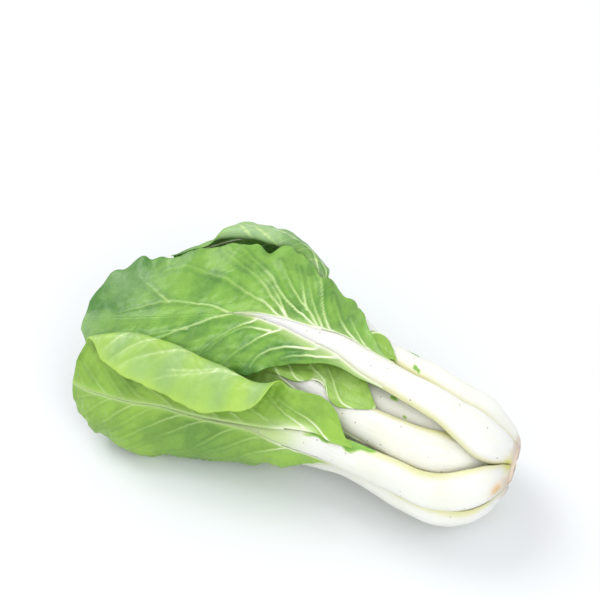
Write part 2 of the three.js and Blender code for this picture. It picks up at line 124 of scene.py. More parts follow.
# reach, half width, thickness, hollow of the section
STALKS = {
    "outer": np.array([
        [0, 7, 4, 0.6], [5, 11.5, 5, 1.2], [12, 16, 6.5, 2.4], [23, 18.5, 8, 3.6],
        [36, 16.5, 9, 3.6], [50, 14, 9.5, 3.2], [80, 12.5, 9, 2.8], [105, 11.5, 7.5, 2.4],
        [125, 9.2, 6, 1.6], [140, 7, 5, 0.8], [160, 4.4, 3.6, 0], [182, 2.6, 2.4, 0],
        [220, 1.6, 1.6, 0], [300, 1, 1.1, 0],
    ], float),
    "inner": np.array([
        [14, 6, 3.5, 1], [22, 9, 5, 1.5], [40, 11.5, 7, 2.4], [60, 12, 7.5, 2.4], [90, 11, 6.5, 2],
        [110, 9, 5, 1.4], [130, 6.5, 3.8, 0.6], [160, 3.4, 2.4, 0], [200, 1.8, 1.4, 0],
        [300, 1, 1, 0],
    ], float),
    "heart": np.array([
        [22, 3.5, 2.6, 0.4], [40, 5.5, 4, 0.8], [80, 5.5, 4, 0.8], [110, 4.2, 3, 0.4],
        [150, 2.4, 2, 0], [300, 1, 1, 0],
    ], float),
}
print("rings of leaves:", ", ".join(RINGS))

# %% [markdown]
# The tables hold few rows, so a smooth curve is drawn through them. A place on the body is found
# from its ring, reach, turn and depth. To go sideways by a true distance, the turn is added up in
# small steps, because the body is wider at its tuft than at its stalks.

# %% Find places on the body


def along(table, reach, column):
    """Smooth value of one column of a table at each reach."""
    x, y = table[:, 0], table[:, column]
    rise = np.diff(y) / np.diff(x)
    before, after = np.diff(x)[:-1], np.diff(x)[1:]
    middle = (rise[:-1] * after + rise[1:] * before) / (before + after)
    slope = np.concatenate([rise[:1], middle, rise[-1:]])
    at = np.clip(reach, x[0], x[-1])
    i = np.clip(np.searchsorted(x, at, side="right") - 1, 0, len(x) - 2)
    span = x[i + 1] - x[i]
    u = (at - x[i]) / span
    start = (2 * u**3 - 3 * u**2 + 1) * y[i]
    end = (3 * u**2 - 2 * u**3) * y[i + 1]
    bend = (u**3 - 2 * u**2 + u) * slope[i] + (u**3 - u**2) * slope[i + 1]
    return start + end + bend * span


def place(ring, reach, turn, depth):
    """Points of a ring, in mm: X from the cut, Y and Z of the lying head."""
    tilt = np.radians(along(BODY, reach, 5))
    y, z = -np.sin(turn), np.cos(turn)
    long = (y * np.cos(tilt) + z * np.sin(tilt)) / along(BODY, reach, 3)
    short = (z * np.cos(tilt) - y * np.sin(tilt)) / along(BODY, reach, 4)
    radius = along(RINGS[ring], reach, 1) / np.hypot(long, short) - depth
    height = along(BODY, reach, 2) + radius * z
    pressed = FLOOR_BLEND * np.exp((np.minimum(height, FLOOR_BLEND) - FLOOR_BLEND) / FLOOR_BLEND)
    settled = np.where(height > FLOOR_BLEND, height, pressed)
    x = CUT_X - reach + 0 * radius
    return np.stack([x, along(BODY, reach, 1) + radius * y, settled], axis=-1)


def beside(leaf, reach, sideways, depth, steps=14, probe=0.01):
    """Points at a distance sideways of a leaf's spine, measured round the body in small steps."""
    skin = along(leaf.spine, reach, 2)
    turn = np.radians(along(leaf.spine, reach, 1)) + 0 * sideways
    for _ in range(steps):
        here = place(leaf.ring, reach, turn, skin)
        near = place(leaf.ring, reach, turn + probe, skin)
        turn = turn + sideways / steps / (np.linalg.norm(near - here, axis=-1) / probe)
    return place(leaf.ring, reach, turn, depth)


shift = np.array(cut_face) - np.array([CUT_X, 0, CUT_Z]) * MM
print("the tables' frame is shifted by, in mm:", (shift / MM).round(2))

# %% [markdown]
# ## The leaves
#
# Each leaf has a spine that says where its stalk runs: reach, turn in degrees, depth of its skin.
# Wing, joined and tip are the reaches where its blade starts, passes under the midrib and ends.
# Greens is where the stalk turns green, and a forked midrib sinks into the blade at its end.
#
# The half of a blade called plus lies on the side of larger turn and the half called minus on the
# other. Edge says how far the margin lies deeper than the midrib, ruffle how high its waves
# stand, and span how wide the half is at each reach. Fold is where a margin turns over, and creep
# how far a blade climbs on its own stalk. Six outer leaves close the body, five lie inside them,
# and two small ones make the heart.

# %% Describe a leaf


def new_half(**shape):
    """One half of a blade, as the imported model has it, with the columns of its fine mesh."""
    missing = dict.fromkeys(("span", "fold", "creep", "widest", "width", "veins"))
    tables = {key: np.array(shape[key], float) for key in ("span", "fold", "creep") if key in shape}
    return SimpleNamespace(**{**missing, "teeth": 1.1, "frill": 1.5, **shape, **tables})


def new_leaf(name, ring, spine, greens=(112, 165), fork=False, **shape):
    """One leaf: where its stalk runs and turns green, where its blade starts, joins and ends."""
    spine = np.array(spine, float)
    return SimpleNamespace(name=name, ring=ring, spine=spine, greens=greens, fork=fork, **shape)


# %% Main veins of the top leaf
# width in mm, then reach and distance from the midrib of points along the vein
TOP_LEAF_HIGH_VEINS = [
    (2.2, [(199, -2), (207, 2), (215, 6), (226, 8), (237, 10), (249, 10), (261, 7), (276, 3)]),
    (2.0, [(161, -3), (172, 3), (182, 9), (193, 13), (204, 18), (213, 22), (223, 25), (233, 28),
           (245, 28), (256, 26)]),
    (2.0, [(159, -4), (171, 8), (180, 14), (189, 21), (198, 26), (208, 29), (218, 35), (224, 41)]),
    (1.6, [(160, -4), (172, 11), (180, 18), (189, 24), (199, 30), (210, 33), (222, 42)]),
    (2.4, [(140, -4), (145, 2), (153, 7), (163, 11), (173, 16), (180, 21), (186, 26), (195, 31),
           (204, 35), (215, 39)]),
    (2.2, [(139, -3), (143, 2), (151, 11), (161, 17), (170, 23), (177, 29), (184, 36)]),
    (1.2, [(155, 13), (161, 22), (166, 30), (173, 39)]),
    (1.8, [(137, -2), (143, 7), (150, 15), (156, 22), (163, 34)]),
    (2.0, [(131, -3), (138, 7), (144, 15), (148, 21), (152, 28), (158, 36), (165, 42)]),
    (1.6, [(114, -3), (118, 3), (126, 8), (132, 14), (137, 20), (144, 28)]),
    (1.4, [(104, -2), (112, 5), (120, 11), (128, 19)]),
    (1.0, [(243, 10), (252, 15), (262, 21), (272, 25)]),
]
TOP_LEAF_LOW_VEINS = [
    (2.2, [(197, -2), (205, 1), (213, 3), (222, 7), (230, 10), (243, 17), (256, 25), (266, 32)]),
    (1.3, [(180, -2), (185, 2), (194, 8), (201, 14), (208, 21), (213, 28), (219, 37)]),
    (1.8, [(160, -3), (168, 3), (176, 10), (184, 20), (190, 27), (194, 33), (198, 40)]),
    (1.1, [(172, 5), (180, 6), (190, 8), (197, 13), (203, 19), (210, 29)]),
    (2.4, [(134, -2), (141, 3), (153, 8), (164, 14), (171, 20), (176, 28), (178, 36)]),
    (2.2, [(122, 0), (132, 5), (143, 9), (152, 14), (159, 20)]),
    (1.0, [(226, 10), (240, 11), (254, 15), (268, 20)]),
]
print("given veins:", len(TOP_LEAF_HIGH_VEINS) + len(TOP_LEAF_LOW_VEINS))

# %% Table of the leaves
LEAVES = [
    new_leaf(
        "top_leaf", "outer", wide=1, wing=88, joined=140, tip=299, rows=240, seed=11,
        greens=(166, 200), fork=True,
        spine=[
            [0, 13, 0], [12, 14.5, 0], [22, 10.5, 0], [32, 4.5, 0], [46, -0.5, 0], [62, -1.5, 0],
            [82, -4.5, 0], [106, -6, 0], [126, -8, -0.5], [142, -5, -0.5], [168, -3, 0],
            [192, -2, 0.6], [220, 3, 1], [252, 1, 1], [298, 8, 1],
        ],
        plus=new_half(
            edge=3.2, ruffle=0.6, waves=6, shift=0.4, columns=52, veins=TOP_LEAF_LOW_VEINS,
            span=[
                [88, 1], [104, 2.5], [120, 5], [132, 9], [144, 15], [158, 24], [164, 29], [172, 37],
                [190, 44.5], [206, 46.5], [220, 46], [250, 43], [274, 33], [290, 18], [299, 5],
            ],
        ),
        minus=new_half(
            edge=-10, ruffle=3, waves=7, shift=1.1, columns=64, veins=TOP_LEAF_HIGH_VEINS,
            span=[
                [88, 1], [100, 6], [116, 19], [134, 33], [144, 35], [150, 32], [158, 37],
                [166, 43.6], [176, 48.5], [186, 47.5], [196, 43.5], [208, 41], [220, 42.5],
                [232, 44], [241, 38.5], [252, 35.5], [262, 36], [272, 35], [284, 31], [293, 21],
                [299, 8],
            ],
        ),
    ),
    new_leaf(
        "front_leaf", "outer", wide=1.08, wing=96, joined=142, tip=294, rows=230, seed=12,
        greens=(112, 158),
        spine=[
            [0, 72, -1], [12, 76.5, -3], [24, 80, -1.2], [35, 82, 0], [50, 81, 0], [64, 79.5, 0],
            [82, 80.5, 0], [105, 82, 0], [120, 82, 0], [152, 86, 0], [202, 91, 1], [258, 88, 1],
            [292, 95, 1],
        ],
        plus=new_half(edge=-2, ruffle=1.6, waves=4, shift=2.2, columns=54, widest=0.55, width=50),
        minus=new_half(
            edge=-3, ruffle=1.2, waves=4, shift=0.8, columns=84, teeth=0.35, frill=0.4,
            span=[
                [96, 1], [104, 6], [112, 17], [122, 24], [136, 27], [150, 30], [160, 44], [170, 50],
                [180, 56], [190, 65], [204, 69.5], [216, 72], [240, 74], [252, 72], [262, 67],
                [272, 59], [280, 47], [287, 36], [294, 12],
            ],
            fold=[
                [96, 44], [122, 36], [136, 33], [150, 29.5], [163, 25.5], [172, 26], [181, 29],
                [191, 32.5], [204, 35], [228, 38.5], [254, 40], [272, 36], [282, 32], [294, 24],
            ],
            creep=[[96, 1.5], [108, 2.5], [122, 0.6], [132, 0], [294, 0]],
        ),
    ),
    new_leaf(
        "low_front_leaf", "outer", wide=1.15, wing=96, joined=140, tip=272, rows=170, seed=13,
        spine=[
            [0, 130, -1.5], [6, 132, -3.6], [12, 134.5, -4.8], [24, 135.5, -3.5], [36, 127, -1],
            [50, 119, 1.5], [66, 115, 3], [90, 115, 5], [110, 122, 6.5], [130, 131, 4],
            [150, 136, 1.5], [180, 137, 1], [230, 134, 1], [276, 130, 1],
        ],
        plus=new_half(edge=3, ruffle=0.6, waves=4, shift=0.2, columns=37, widest=0.6, width=36),
        minus=new_half(edge=3, ruffle=0.6, waves=4, shift=1.9, columns=41, widest=0.6, width=40),
    ),
    new_leaf(
        "under_leaf", "outer", wide=1.1, wing=98, joined=142, tip=282, rows=180, seed=14,
        spine=[
            [0, -166, 0], [12, -169, -1], [24, -167, -2], [40, -165.5, -2], [60, -166, -2],
            [100, -170, -1], [150, -173, 0], [200, -174, 1], [280, -176, 1],
        ],
        plus=new_half(edge=3, ruffle=0.6, waves=4, shift=1.2, columns=47, widest=0.56, width=48),
        minus=new_half(edge=-2, ruffle=0.6, waves=4, shift=0.1, columns=34, widest=0.6, width=33),
    ),
    new_leaf(
        "back_leaf", "outer", wide=1, wing=92, joined=138, tip=264, rows=185, seed=15,
        spine=[
            [0, -105, 0], [24, -110, 0], [60, -106, 0], [100, -104, 0], [150, -106, 0],
            [200, -110, 1], [270, -112, 1],
        ],
        plus=new_half(edge=3, ruffle=0.6, waves=4, shift=0.9, columns=50, widest=0.56, width=48),
        minus=new_half(edge=-2, ruffle=1.4, waves=5, shift=2.1, columns=42, widest=0.6, width=38),
    ),
    new_leaf(
        "high_back_leaf", "outer", wide=1.2, wing=88, joined=134, tip=262, rows=180, seed=16,
        spine=[
            [0, -46, 1], [12, -47, 4], [24, -47.2, 2.5], [36, -42.8, 2], [50, -39.2, 2.5],
            [64, -38.4, 2], [82, -42, 1], [104, -48, 1.5], [120, -52, 0], [140, -56, -2],
            [180, -64, -5.1], [212, -66, -7.2], [240, -65, -7], [262, -62, -5],
        ],
        plus=new_half(
            edge=3, ruffle=1, waves=4, shift=0.6, columns=60, teeth=0.5, frill=0.6,
            span=[
                [88, 1], [93, 6], [99, 11.5], [106, 13], [120, 13], [136, 15], [147, 15], [152, 19],
                [160, 24], [170, 27.5], [180, 32], [190, 38], [200, 41], [212, 42], [222, 40],
                [229, 33], [236, 22], [246, 17], [256, 11], [262, 4],
            ],
            fold=[
                [88, 40], [120, 30], [140, 20], [148, 12], [153, 3.4], [160, 3], [170, 4.5],
                [180, 9.5], [190, 14], [200, 17], [212, 19], [222, 19], [232, 18], [240, 20],
                [262, 20],
            ],
            creep=[[88, 0], [94, 5], [99, 9], [105, 9.5], [110, 6], [114, 1], [118, 0], [262, 0]],
        ),
        minus=new_half(
            edge=-5, ruffle=3, waves=5, shift=1.4, columns=50, widest=0.58, width=51, teeth=2.2,
            frill=2.2,
        ),
    ),
    new_leaf(
        "inner_front_leaf", "inner", wide=1.22, wing=90, joined=138, tip=246, rows=230, seed=17,
        greens=(142, 168),
        spine=[
            [14, 46, 0], [40, 44, -1], [60, 46.5, -2], [90, 48, -2], [112, 51, -1], [132, 45, 0],
            [160, 42, 0], [240, 44, 0],
        ],
        plus=new_half(edge=-1, ruffle=0.8, waves=3, shift=0.4, columns=34, widest=0.55, width=34),
        minus=new_half(
            edge=-4, ruffle=1.6, waves=6, shift=1.3, columns=60,
            span=[
                [90, 2], [95, 9], [102, 17], [112, 21], [124, 23.5], [160, 26], [210, 24], [240, 9],
                [246, 2],
            ],
            creep=[
                [90, 0], [97, 3], [106, 5], [116, 7], [122, 5], [127, 0.5], [137, 0.5], [144, 5],
                [160, 6], [246, 4],
            ],
        ),
    ),
    new_leaf(
        "inner_top_leaf", "inner", wide=1, wing=104, joined=142, tip=268, rows=110, seed=18,
        spine=[
            [14, 0, 1], [40, 2, 4], [60, 6, 5.5], [90, 10, 5.5], [130, 8, 5.5], [200, -8, 6],
            [270, -14, 6],
        ],
        plus=new_half(edge=1, ruffle=0.6, waves=3, shift=0.1, columns=24, widest=0.55, width=30),
        minus=new_half(edge=0, ruffle=0.6, waves=3, shift=2, columns=26, widest=0.55, width=32),
    ),
    new_leaf(
        "inner_back_leaf", "inner", wide=1, wing=104, joined=142, tip=280, rows=90, seed=19,
        spine=[[14, -60, 0], [60, -60, 0], [130, -62, 7], [200, -66, 11], [290, -66, 10]],
        plus=new_half(edge=1, ruffle=0.6, waves=3, shift=0.8, columns=20, widest=0.6, width=34),
        minus=new_half(edge=0, ruffle=0.6, waves=3, shift=1.7, columns=20, widest=0.6, width=34),
    ),
    new_leaf(
        "inner_low_leaf", "inner", wide=1, wing=104, joined=142, tip=252, rows=90, seed=20,
        spine=[[14, -130, 0], [60, -130, 0], [130, -134, 1], [200, -138, 1], [290, -140, 1]],
        plus=new_half(edge=0, ruffle=0.6, waves=3, shift=0.2, columns=20, widest=0.56, width=34),
        minus=new_half(edge=0, ruffle=0.6, waves=3, shift=1.1, columns=20, widest=0.56, width=34),
    ),
    new_leaf(
        "inner_under_leaf", "inner", wide=1, wing=104, joined=142, tip=258, rows=90, seed=21,
        spine=[[14, 148, 0], [60, 146, 0], [130, 142, 3], [200, 138, 4], [290, 136, 4]],
        plus=new_half(edge=0, ruffle=0.6, waves=3, shift=0.9, columns=20, widest=0.56, width=32),
        minus=new_half(edge=0, ruffle=0.6, waves=3, shift=0.5, columns=20, widest=0.56, width=32),
    ),
    new_leaf(
        "heart_leaf_high", "heart", wide=1, wing=96, joined=128, tip=214, rows=70, seed=22,
        spine=[[22, 20, 0], [60, 10, 0], [130, 0, 0], [240, 0, 0]],
        plus=new_half(edge=0, ruffle=0.4, waves=3, shift=0.2, columns=14, widest=0.56, width=20),
        minus=new_half(edge=0, ruffle=0.4, waves=3, shift=1.5, columns=14, widest=0.56, width=20),
    ),
    new_leaf(
        "heart_leaf_low", "heart", wide=1, wing=92, joined=124, tip=200, rows=70, seed=23,
        spine=[[22, -160, 0], [60, -168, 0], [130, -176, 0], [240, -180, 0]],
        plus=new_half(edge=0, ruffle=0.4, waves=3, shift=0.7, columns=14, widest=0.56, width=18),
        minus=new_half(edge=0, ruffle=0.4, waves=3, shift=1.2, columns=14, widest=0.56, width=18),
    ),
]
print("leaves:", len(LEAVES))

# %% [markdown]
# ## Turning grids of points into closed pieces
#
# A stalk is a tube of rings and a blade is a thin sheet. Both start as grids of points, which is
# the quickest way to make a mesh in code. Each piece carries a few numbers at every point, such as
# how close a vein is, and the materials read them later.

# %% Soft steps, bells and ripples


def smoothstep(value, low, high):
    """0 below low, 1 above high, and a soft step between them."""
    t = np.clip((value - low) / (high - low), 0, 1)
    return t * t * (3 - 2 * t)


def bell(value, width):
    """1 at zero, falling off softly to both sides."""
    return np.exp(-((value / width) ** 2))


def ripple(seed, x, y, wavelength, waves=7):
    """Soft random ups and downs between about -1 and 1, from crossing waves."""
    draw = np.random.default_rng(seed)
    total = 0
    for _ in range(waves):
        heading, phase = draw.uniform(0, 2 * math.pi, 2)
        length = wavelength * draw.uniform(0.7, 1.5)
        way = (x * math.cos(heading) + y * math.sin(heading)) * 2 * math.pi / length
        total = total + np.sin(way + phase)
    return total / math.sqrt(waves)


print("ripple at three places:", ripple(1, np.array([0, 5, 10]), 0, 20).round(2))

# %% Faces, and a piece from points and faces


def tube_faces(index):
    """Quads between the rings of a tube, from the numbers of its points, one row for each ring."""
    ahead = np.roll(index, -1, axis=1)
    quads = np.stack([index[:-1], index[1:], ahead[1:], ahead[:-1]], axis=-1)
    return quads.reshape(-1, 4).tolist()


def end_faces(first, last, centre):
    """Triangles that close a tube round two middle points, numbered centre and centre + 1."""
    faces = [[a, b, centre] for a, b in zip(first.tolist(), np.roll(first, -1).tolist())]
    return faces + [[b, a, centre + 1] for a, b in zip(last.tolist(), np.roll(last, -1).tolist())]


def looks_outwards(mesh, points):
    """Whether the faces of a closed mesh look outwards: its signed volume is then above zero."""
    mesh.calc_loop_triangles()
    corners = np.empty(3 * len(mesh.loop_triangles), np.int32)
    mesh.loop_triangles.foreach_get("vertices", corners)
    a, b, c = np.moveaxis(points[corners.reshape(-1, 3)], 1, 0)
    return np.sum(a * np.cross(b, c)) > 0


def make_piece(name, points, faces, numbers, material):
    """A smooth mesh in metres with its numbers and vectors, that replaces the node of its name."""
    mesh = bpy.data.meshes.new(name)
    mesh.from_pydata((points * MM + shift).tolist(), [], faces)
    mesh.validate()
    if not looks_outwards(mesh, points):
        mesh.flip_normals()
    mesh.shade_smooth()
    for key, values in numbers.items():
        kind, field = ("FLOAT", "value") if values.ndim == 1 else ("FLOAT_VECTOR", "vector")
        attribute = mesh.attributes.new(key, kind, "POINT")
        attribute.data.foreach_set(field, np.asarray(values, np.float32).ravel())
    mesh.materials.append(material)
    piece = bpy.data.objects.new("fine_" + name, mesh)
    bpy.context.scene.collection.objects.link(piece)
    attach(piece, "root")
    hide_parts(name)
    print(piece.name, len(mesh.polygons), "faces")


# %% [markdown]
# ## Node groups for the plant tissue
#
# Three effects come back in several materials: long fibres in the stalks, the fine net of veins in
# the blades, and the grain of cells that breaks up every highlight. Each is one node group with
# named inputs, so every material can use it with its own scale.

# %% Start a node group


def start_group(name, number, value, outputs):
    """A shader node group that is fed a place and one number, with the sockets it starts from."""
    tree = bpy.data.node_groups.new(name, "ShaderNodeTree")
    tree.interface.new_socket(name="Place", in_out="INPUT", socket_type="NodeSocketVector")
    socket = tree.interface.new_socket(name=number, in_out="INPUT", socket_type="NodeSocketFloat")
    socket.default_value = value
    for label in outputs:
        tree.interface.new_socket(name=label, in_out="OUTPUT", socket_type="NodeSocketFloat")
    entry = tree.nodes.new("NodeGroupInput")
    return tree, entry.outputs["Place"], entry.outputs[number]


def finish_group(tree, **results):
    """Joins each result to the output of its name."""
    end = tree.nodes.new("NodeGroupOutput")
    for label, source in results.items():
        tree.links.new(source, end.inputs[label])
    print("group:", tree.name)


def add_node(tree, kind, inputs=(), **settings):
    """A node with its settings; inputs gives each socket its value or the socket that feeds it."""
    node = tree.nodes.new(kind)
    for key, value in settings.items():
        setattr(node, key, value)
    for socket, value in dict(inputs).items():
        if isinstance(value, bpy.types.NodeSocket):
            tree.links.new(value, node.inputs[socket])
        else:
            node.inputs[socket].default_value = value
    return node


def remap(tree, source, low, high, start=0.0, end=1.0):
    """A value between low and high, stretched smoothly to run from start to end."""
    ends = {"Value": source, "From Min": low, "From Max": high, "To Min": start, "To Max": end}
    return add_node(tree, "ShaderNodeMapRange", ends, interpolation_type="SMOOTHSTEP").outputs[0]


def combine(tree, first, operation, second):
    """ADD, MULTIPLY or MAXIMUM of two values, each a socket or a number."""
    return add_node(tree, "ShaderNodeMath", {0: first, 1: second}, operation=operation).outputs[0]


def mix_colors(tree, factor, first, second):
    """Two colours mixed by a value; each colour is a socket or three numbers."""
    first, second = ((*c, 1) if isinstance(c, tuple) else c for c in (first, second))
    node = add_node(tree, "ShaderNodeMix", {0: factor, 6: first, 7: second}, data_type="RGBA")
    return node.outputs[2]


def paint(tree, color, *layers):
    """A colour with other colours laid over it in turn, each through its mask."""
    for mask, layer in layers:
        color = mix_colors(tree, mask, color, layer)
    return color


def noise(tree, place, **inputs):
    """Noise at a place, with its inputs set by name."""
    return add_node(tree, "ShaderNodeTexNoise", {"Vector": place, **inputs})


def read(tree, name, output="Fac"):
    """The number, or the Vector, that a mesh carries at each point under this name."""
    return add_node(tree, "ShaderNodeAttribute", attribute_name=name).outputs[output]


# %% Fine net of veins
NET_BEND = (2.2, 2.2, 2.2)

net_group, net_place, cells_per_mm = start_group(
    "fine vein net", "Cells per mm", 0.3, ("Lines", "Bulge")
)
bend = noise(net_group, net_place, Scale=0.25, Detail=2).outputs["Color"]
moved = {0: bend, 1: NET_BEND, 2: net_place}
bent = add_node(net_group, "ShaderNodeVectorMath", moved, operation="MULTIPLY_ADD").outputs[0]
nets = []
for factor in (1.0, 2.7):
    sockets = {"Vector": bent, "Scale": combine(net_group, cells_per_mm, "MULTIPLY", factor)}
    cells = add_node(net_group, "ShaderNodeTexVoronoi", sockets, feature="DISTANCE_TO_EDGE")
    nets.append(cells.outputs["Distance"])
coarse, fine = nets
fine_lines = remap(net_group, fine, 0, 0.14, 0.55, 0)
fine_bulge = remap(net_group, fine, 0, 0.3, 0, 0.35)
finish_group(
    net_group,
    Lines=combine(net_group, remap(net_group, coarse, 0, 0.13, 1, 0), "MAXIMUM", fine_lines),
    Bulge=combine(net_group, remap(net_group, coarse, 0, 0.35), "ADD", fine_bulge),
)

# %% Long fibres
FIBRE_STRETCH = (0.035, 1.0, 1.0)

fibre_group, fibre_place, fibres_per_mm = start_group(
    "long fibres", "Fibres per mm", 0.5, ("Streaks", "Clouds")
)
stretch = {0: fibre_place, 1: FIBRE_STRETCH}
drawn_out = add_node(fibre_group, "ShaderNodeVectorMath", stretch, operation="MULTIPLY").outputs[0]
streak = noise(fibre_group, drawn_out, Scale=fibres_per_mm, Detail=3, Roughness=0.6).outputs[0]
cloud = noise(fibre_group, fibre_place, Scale=0.045, Detail=3).outputs[0]
finish_group(
    fibre_group,
    Streaks=remap(fibre_group, streak, 0.35, 0.68),
    Clouds=remap(fibre_group, cloud, 0.35, 0.7),
)

# %% Grain of cells
grain_group, grain_place, grains_per_mm = start_group(
    "cell grain", "Grains per mm", 2.0, ("Height",)
)
grain = noise(grain_group, grain_place, Scale=grains_per_mm, Detail=4, Roughness=0.65)
finish_group(grain_group, Height=grain.outputs[0])

# %% [markdown]
# ## The blade's material
#
# A fresh blade is a waxy green skin over wet tissue. It isn't one green: it is deeper towards the
# margin, yellower where less light reached it, and pale along every vein. Its back has a dull,
# pale bloom of wax. The mesh says where the veins, the bloom, the yellow and the deep parts are,
# and where shade is painted: beside the veins and near the front leaf's fold.
# The net between the veins is too fine for the mesh, so it comes from the node group.

# %% Make the blade materials
VEIN_COLOR = (0.5, 0.67, 0.26)
WHITE_VEIN = (0.78, 0.84, 0.62)
BLOOM_COLOR = (0.4, 0.58, 0.33)
FRESH_GREEN = (0.21, 0.44, 0.055)
# deep green of the blade's own tone, also used for its painted shade
DEEP_AND_SHADE_GREEN = (0.06, 0.2, 0.03)


def add_group(tree, group, place, **values):
    """A node group placed in a material, fed with a place and its own values."""
    node = add_node(tree, "ShaderNodeGroup", node_tree=group)
    tree.links.new(place, node.inputs["Place"])
    for key, value in values.items():
        node.inputs[key.replace("_", " ")].default_value = value
    return node


def start_material(name):
    """A material with its tree and its Principled shader."""
    material = bpy.data.materials.new(name)
    material.use_nodes = True
    tree = material.node_tree
    return material, tree, tree.nodes["Principled BSDF"]


def finish_material(tree, shader, color, rough, relief, bump, **constants):
    """Joins colour, roughness and bump (strength, metres) to a shader and sets its constants."""
    sockets = {"Height": relief, "Strength": bump[0], "Distance": bump[1]}
    raised = add_node(tree, "ShaderNodeBump", sockets).outputs[0]
    for source, socket in ((color, "Base Color"), (rough, "Roughness"), (raised, "Normal")):
        tree.links.new(source, shader.inputs[socket])
    for key, value in constants.items():
        shader.inputs[key.replace("_", " ")].default_value = value


def blade_material(name, fresh, yellow, cells_per_mm):
    """Waxy leaf: two greens in soft patches, yellow and pale parts by the mesh, veins on top."""
    material, tree, shader = start_material(name)
    place = read(tree, "leaf_place", "Vector")
    net = add_group(tree, net_group, place, Cells_per_mm=cells_per_mm)
    grains = add_group(tree, grain_group, place, Grains_per_mm=1.6).outputs["Height"]
    patches = noise(tree, place, Scale=0.06, Detail=4).outputs[0]
    patches = remap(tree, patches, 0.38, 0.68, 0, 0.6)
    veined = read(tree, "vein")
    color = paint(
        tree,
        fresh,
        # deep green in soft patches and where the mesh asks, which includes its painted shade
        (combine(tree, patches, "ADD", read(tree, "deep_and_shade")), DEEP_AND_SHADE_GREEN),
        (read(tree, "yellow"), yellow),
        (combine(tree, net.outputs["Lines"], "MULTIPLY", 0.07), VEIN_COLOR),
        (read(tree, "bloom"), BLOOM_COLOR),
        (remap(tree, veined, 0, 0.8), VEIN_COLOR),
        (remap(tree, veined, 0.6, 1), WHITE_VEIN),
    )
    relief = combine(tree, net.outputs["Bulge"], "ADD", combine(tree, grains, "MULTIPLY", 0.25))
    finish_material(
        tree,
        shader,
        color,
        remap(tree, grains, 0.3, 0.7, 0.3, 0.43),
        relief,
        (0.28, 0.0003),
        Subsurface_Weight=0.12,
        Subsurface_Radius=(0.0012, 0.002, 0.0006),
        Subsurface_Scale=1.0,
        Specular_IOR_Level=0.45,
    )
    return material


outer_blade = blade_material("outer blade", FRESH_GREEN, (0.41, 0.63, 0.07), 0.3)
inner_blade = blade_material("inner blade", (0.24, 0.47, 0.07), (0.42, 0.62, 0.1), 0.36)
print("blade materials:", outer_blade.name, "and", inner_blade.name)

# %% [markdown]
# ## The stalk's material
#
# The stalks are nearly white, a little glassy and faintly striped along their length. Where they
# shade each other, yellow-green shade is painted on their edges; they turn yellow-green and green
# where they meet the blade, and dry to tan at the cut. A few tiny brown specks sit on the older
# stalks, and small scraps of leaf stick to them.

# %% Make the stalk materials
SPECK_BROWN = (0.2, 0.12, 0.05)
STAIN_ORANGE = (0.7, 0.38, 0.12)
DRY_TAN = (0.72, 0.56, 0.44)
DRY_BROWN = (0.5, 0.34, 0.24)
SAP_YELLOW = (0.66, 0.64, 0.06)


def stalk_material(name, ivory, warm, painted_edge_shade):
    """Moist white stalk: faint stripes, painted edge shade, leafy parts, specks, a dried end."""
    material, tree, shader = start_material(name)
    place = read(tree, "stalk_place", "Vector")
    fibres = add_group(tree, fibre_group, place, Fibres_per_mm=0.85)
    streaks = fibres.outputs["Streaks"]
    grains = add_group(tree, grain_group, place, Grains_per_mm=1.1).outputs["Height"]
    tint = combine(tree, fibres.outputs["Clouds"], "MULTIPLY", 0.1)
    leafy = read(tree, "leafy")
    spread = {"Vector": place, "Scale": 0.1, "Randomness": 1.0}
    specks = add_node(tree, "ShaderNodeTexVoronoi", spread, voronoi_dimensions="2D")
    chance = add_node(tree, "ShaderNodeSeparateColor", {0: specks.outputs["Color"]}).outputs[0]
    dots = remap(tree, specks.outputs["Distance"], 0.028, 0.05, 1, 0)
    color = paint(
        tree,
        ivory,
        (combine(tree, streaks, "MULTIPLY", 0.45), warm),
        # painted yellow-green shade where the stalks' edges shade each other, plus a little random
        # tint
        (combine(tree, read(tree, "painted_edge_shade"), "ADD", tint), painted_edge_shade),
        (remap(tree, leafy, 0, 0.5), VEIN_COLOR),
        (remap(tree, leafy, 0.5, 1), FRESH_GREEN),
        (combine(tree, dots, "MULTIPLY", remap(tree, chance, 0.7, 0.85, 0, 0.9)), SPECK_BROWN),
        (read(tree, "stain"), STAIN_ORANGE),
        (read(tree, "dried"), mix_colors(tree, streaks, DRY_TAN, DRY_BROWN)),
        (read(tree, "sap"), SAP_YELLOW),
    )
    finish_material(
        tree,
        shader,
        color,
        remap(tree, grains, 0.3, 0.7, 0.3, 0.44),
        combine(tree, streaks, "ADD", combine(tree, grains, "MULTIPLY", 0.6)),
        (0.3, 0.00025),
        Subsurface_Weight=0.75,
        Subsurface_Radius=(0.0105, 0.011, 0.0092),
        Subsurface_Scale=1.0,
        Coat_Weight=0.15,
        Coat_Roughness=0.2,
    )
    return material


# ivory, warm streaks and painted yellow-green edge shade of each kind of stalk
STALK_TONES = {
    "outer stalk": ((0.85, 0.855, 0.8), (0.81, 0.825, 0.71), (0.69, 0.68, 0.24)),
    "inner stalk": ((0.87, 0.87, 0.775), (0.84, 0.84, 0.665), (0.71, 0.68, 0.22)),
}
outer_stalk, inner_stalk = (stalk_material(name, *tones) for name, tones in STALK_TONES.items())
print("stalk materials:", outer_stalk.name, "and", inner_stalk.name)

# %% [markdown]
# ## Stalks
#
# A stalk is a long tube. Low on the leaf its section is a thick crescent, rounded outside and
# hollow inside, and along the blade it shrinks to a rib with a flat back. Faint ridges run along
# the outside, because bundles of fibres lie under the skin there. The cut end gets rings of its
# own, so that it can be rough. Near the cut, the front stalks lap over their neighbours, and two
# inner stalks swell into the gaps between the outer ones.

# %% Values of the stalks
JOIN_LENGTH = 30
RIDGE_HEIGHT, RIDGE_STEP = 0.16, 3.1
SWAY_HEIGHT, SWAY_WAVE = 0.35, 34
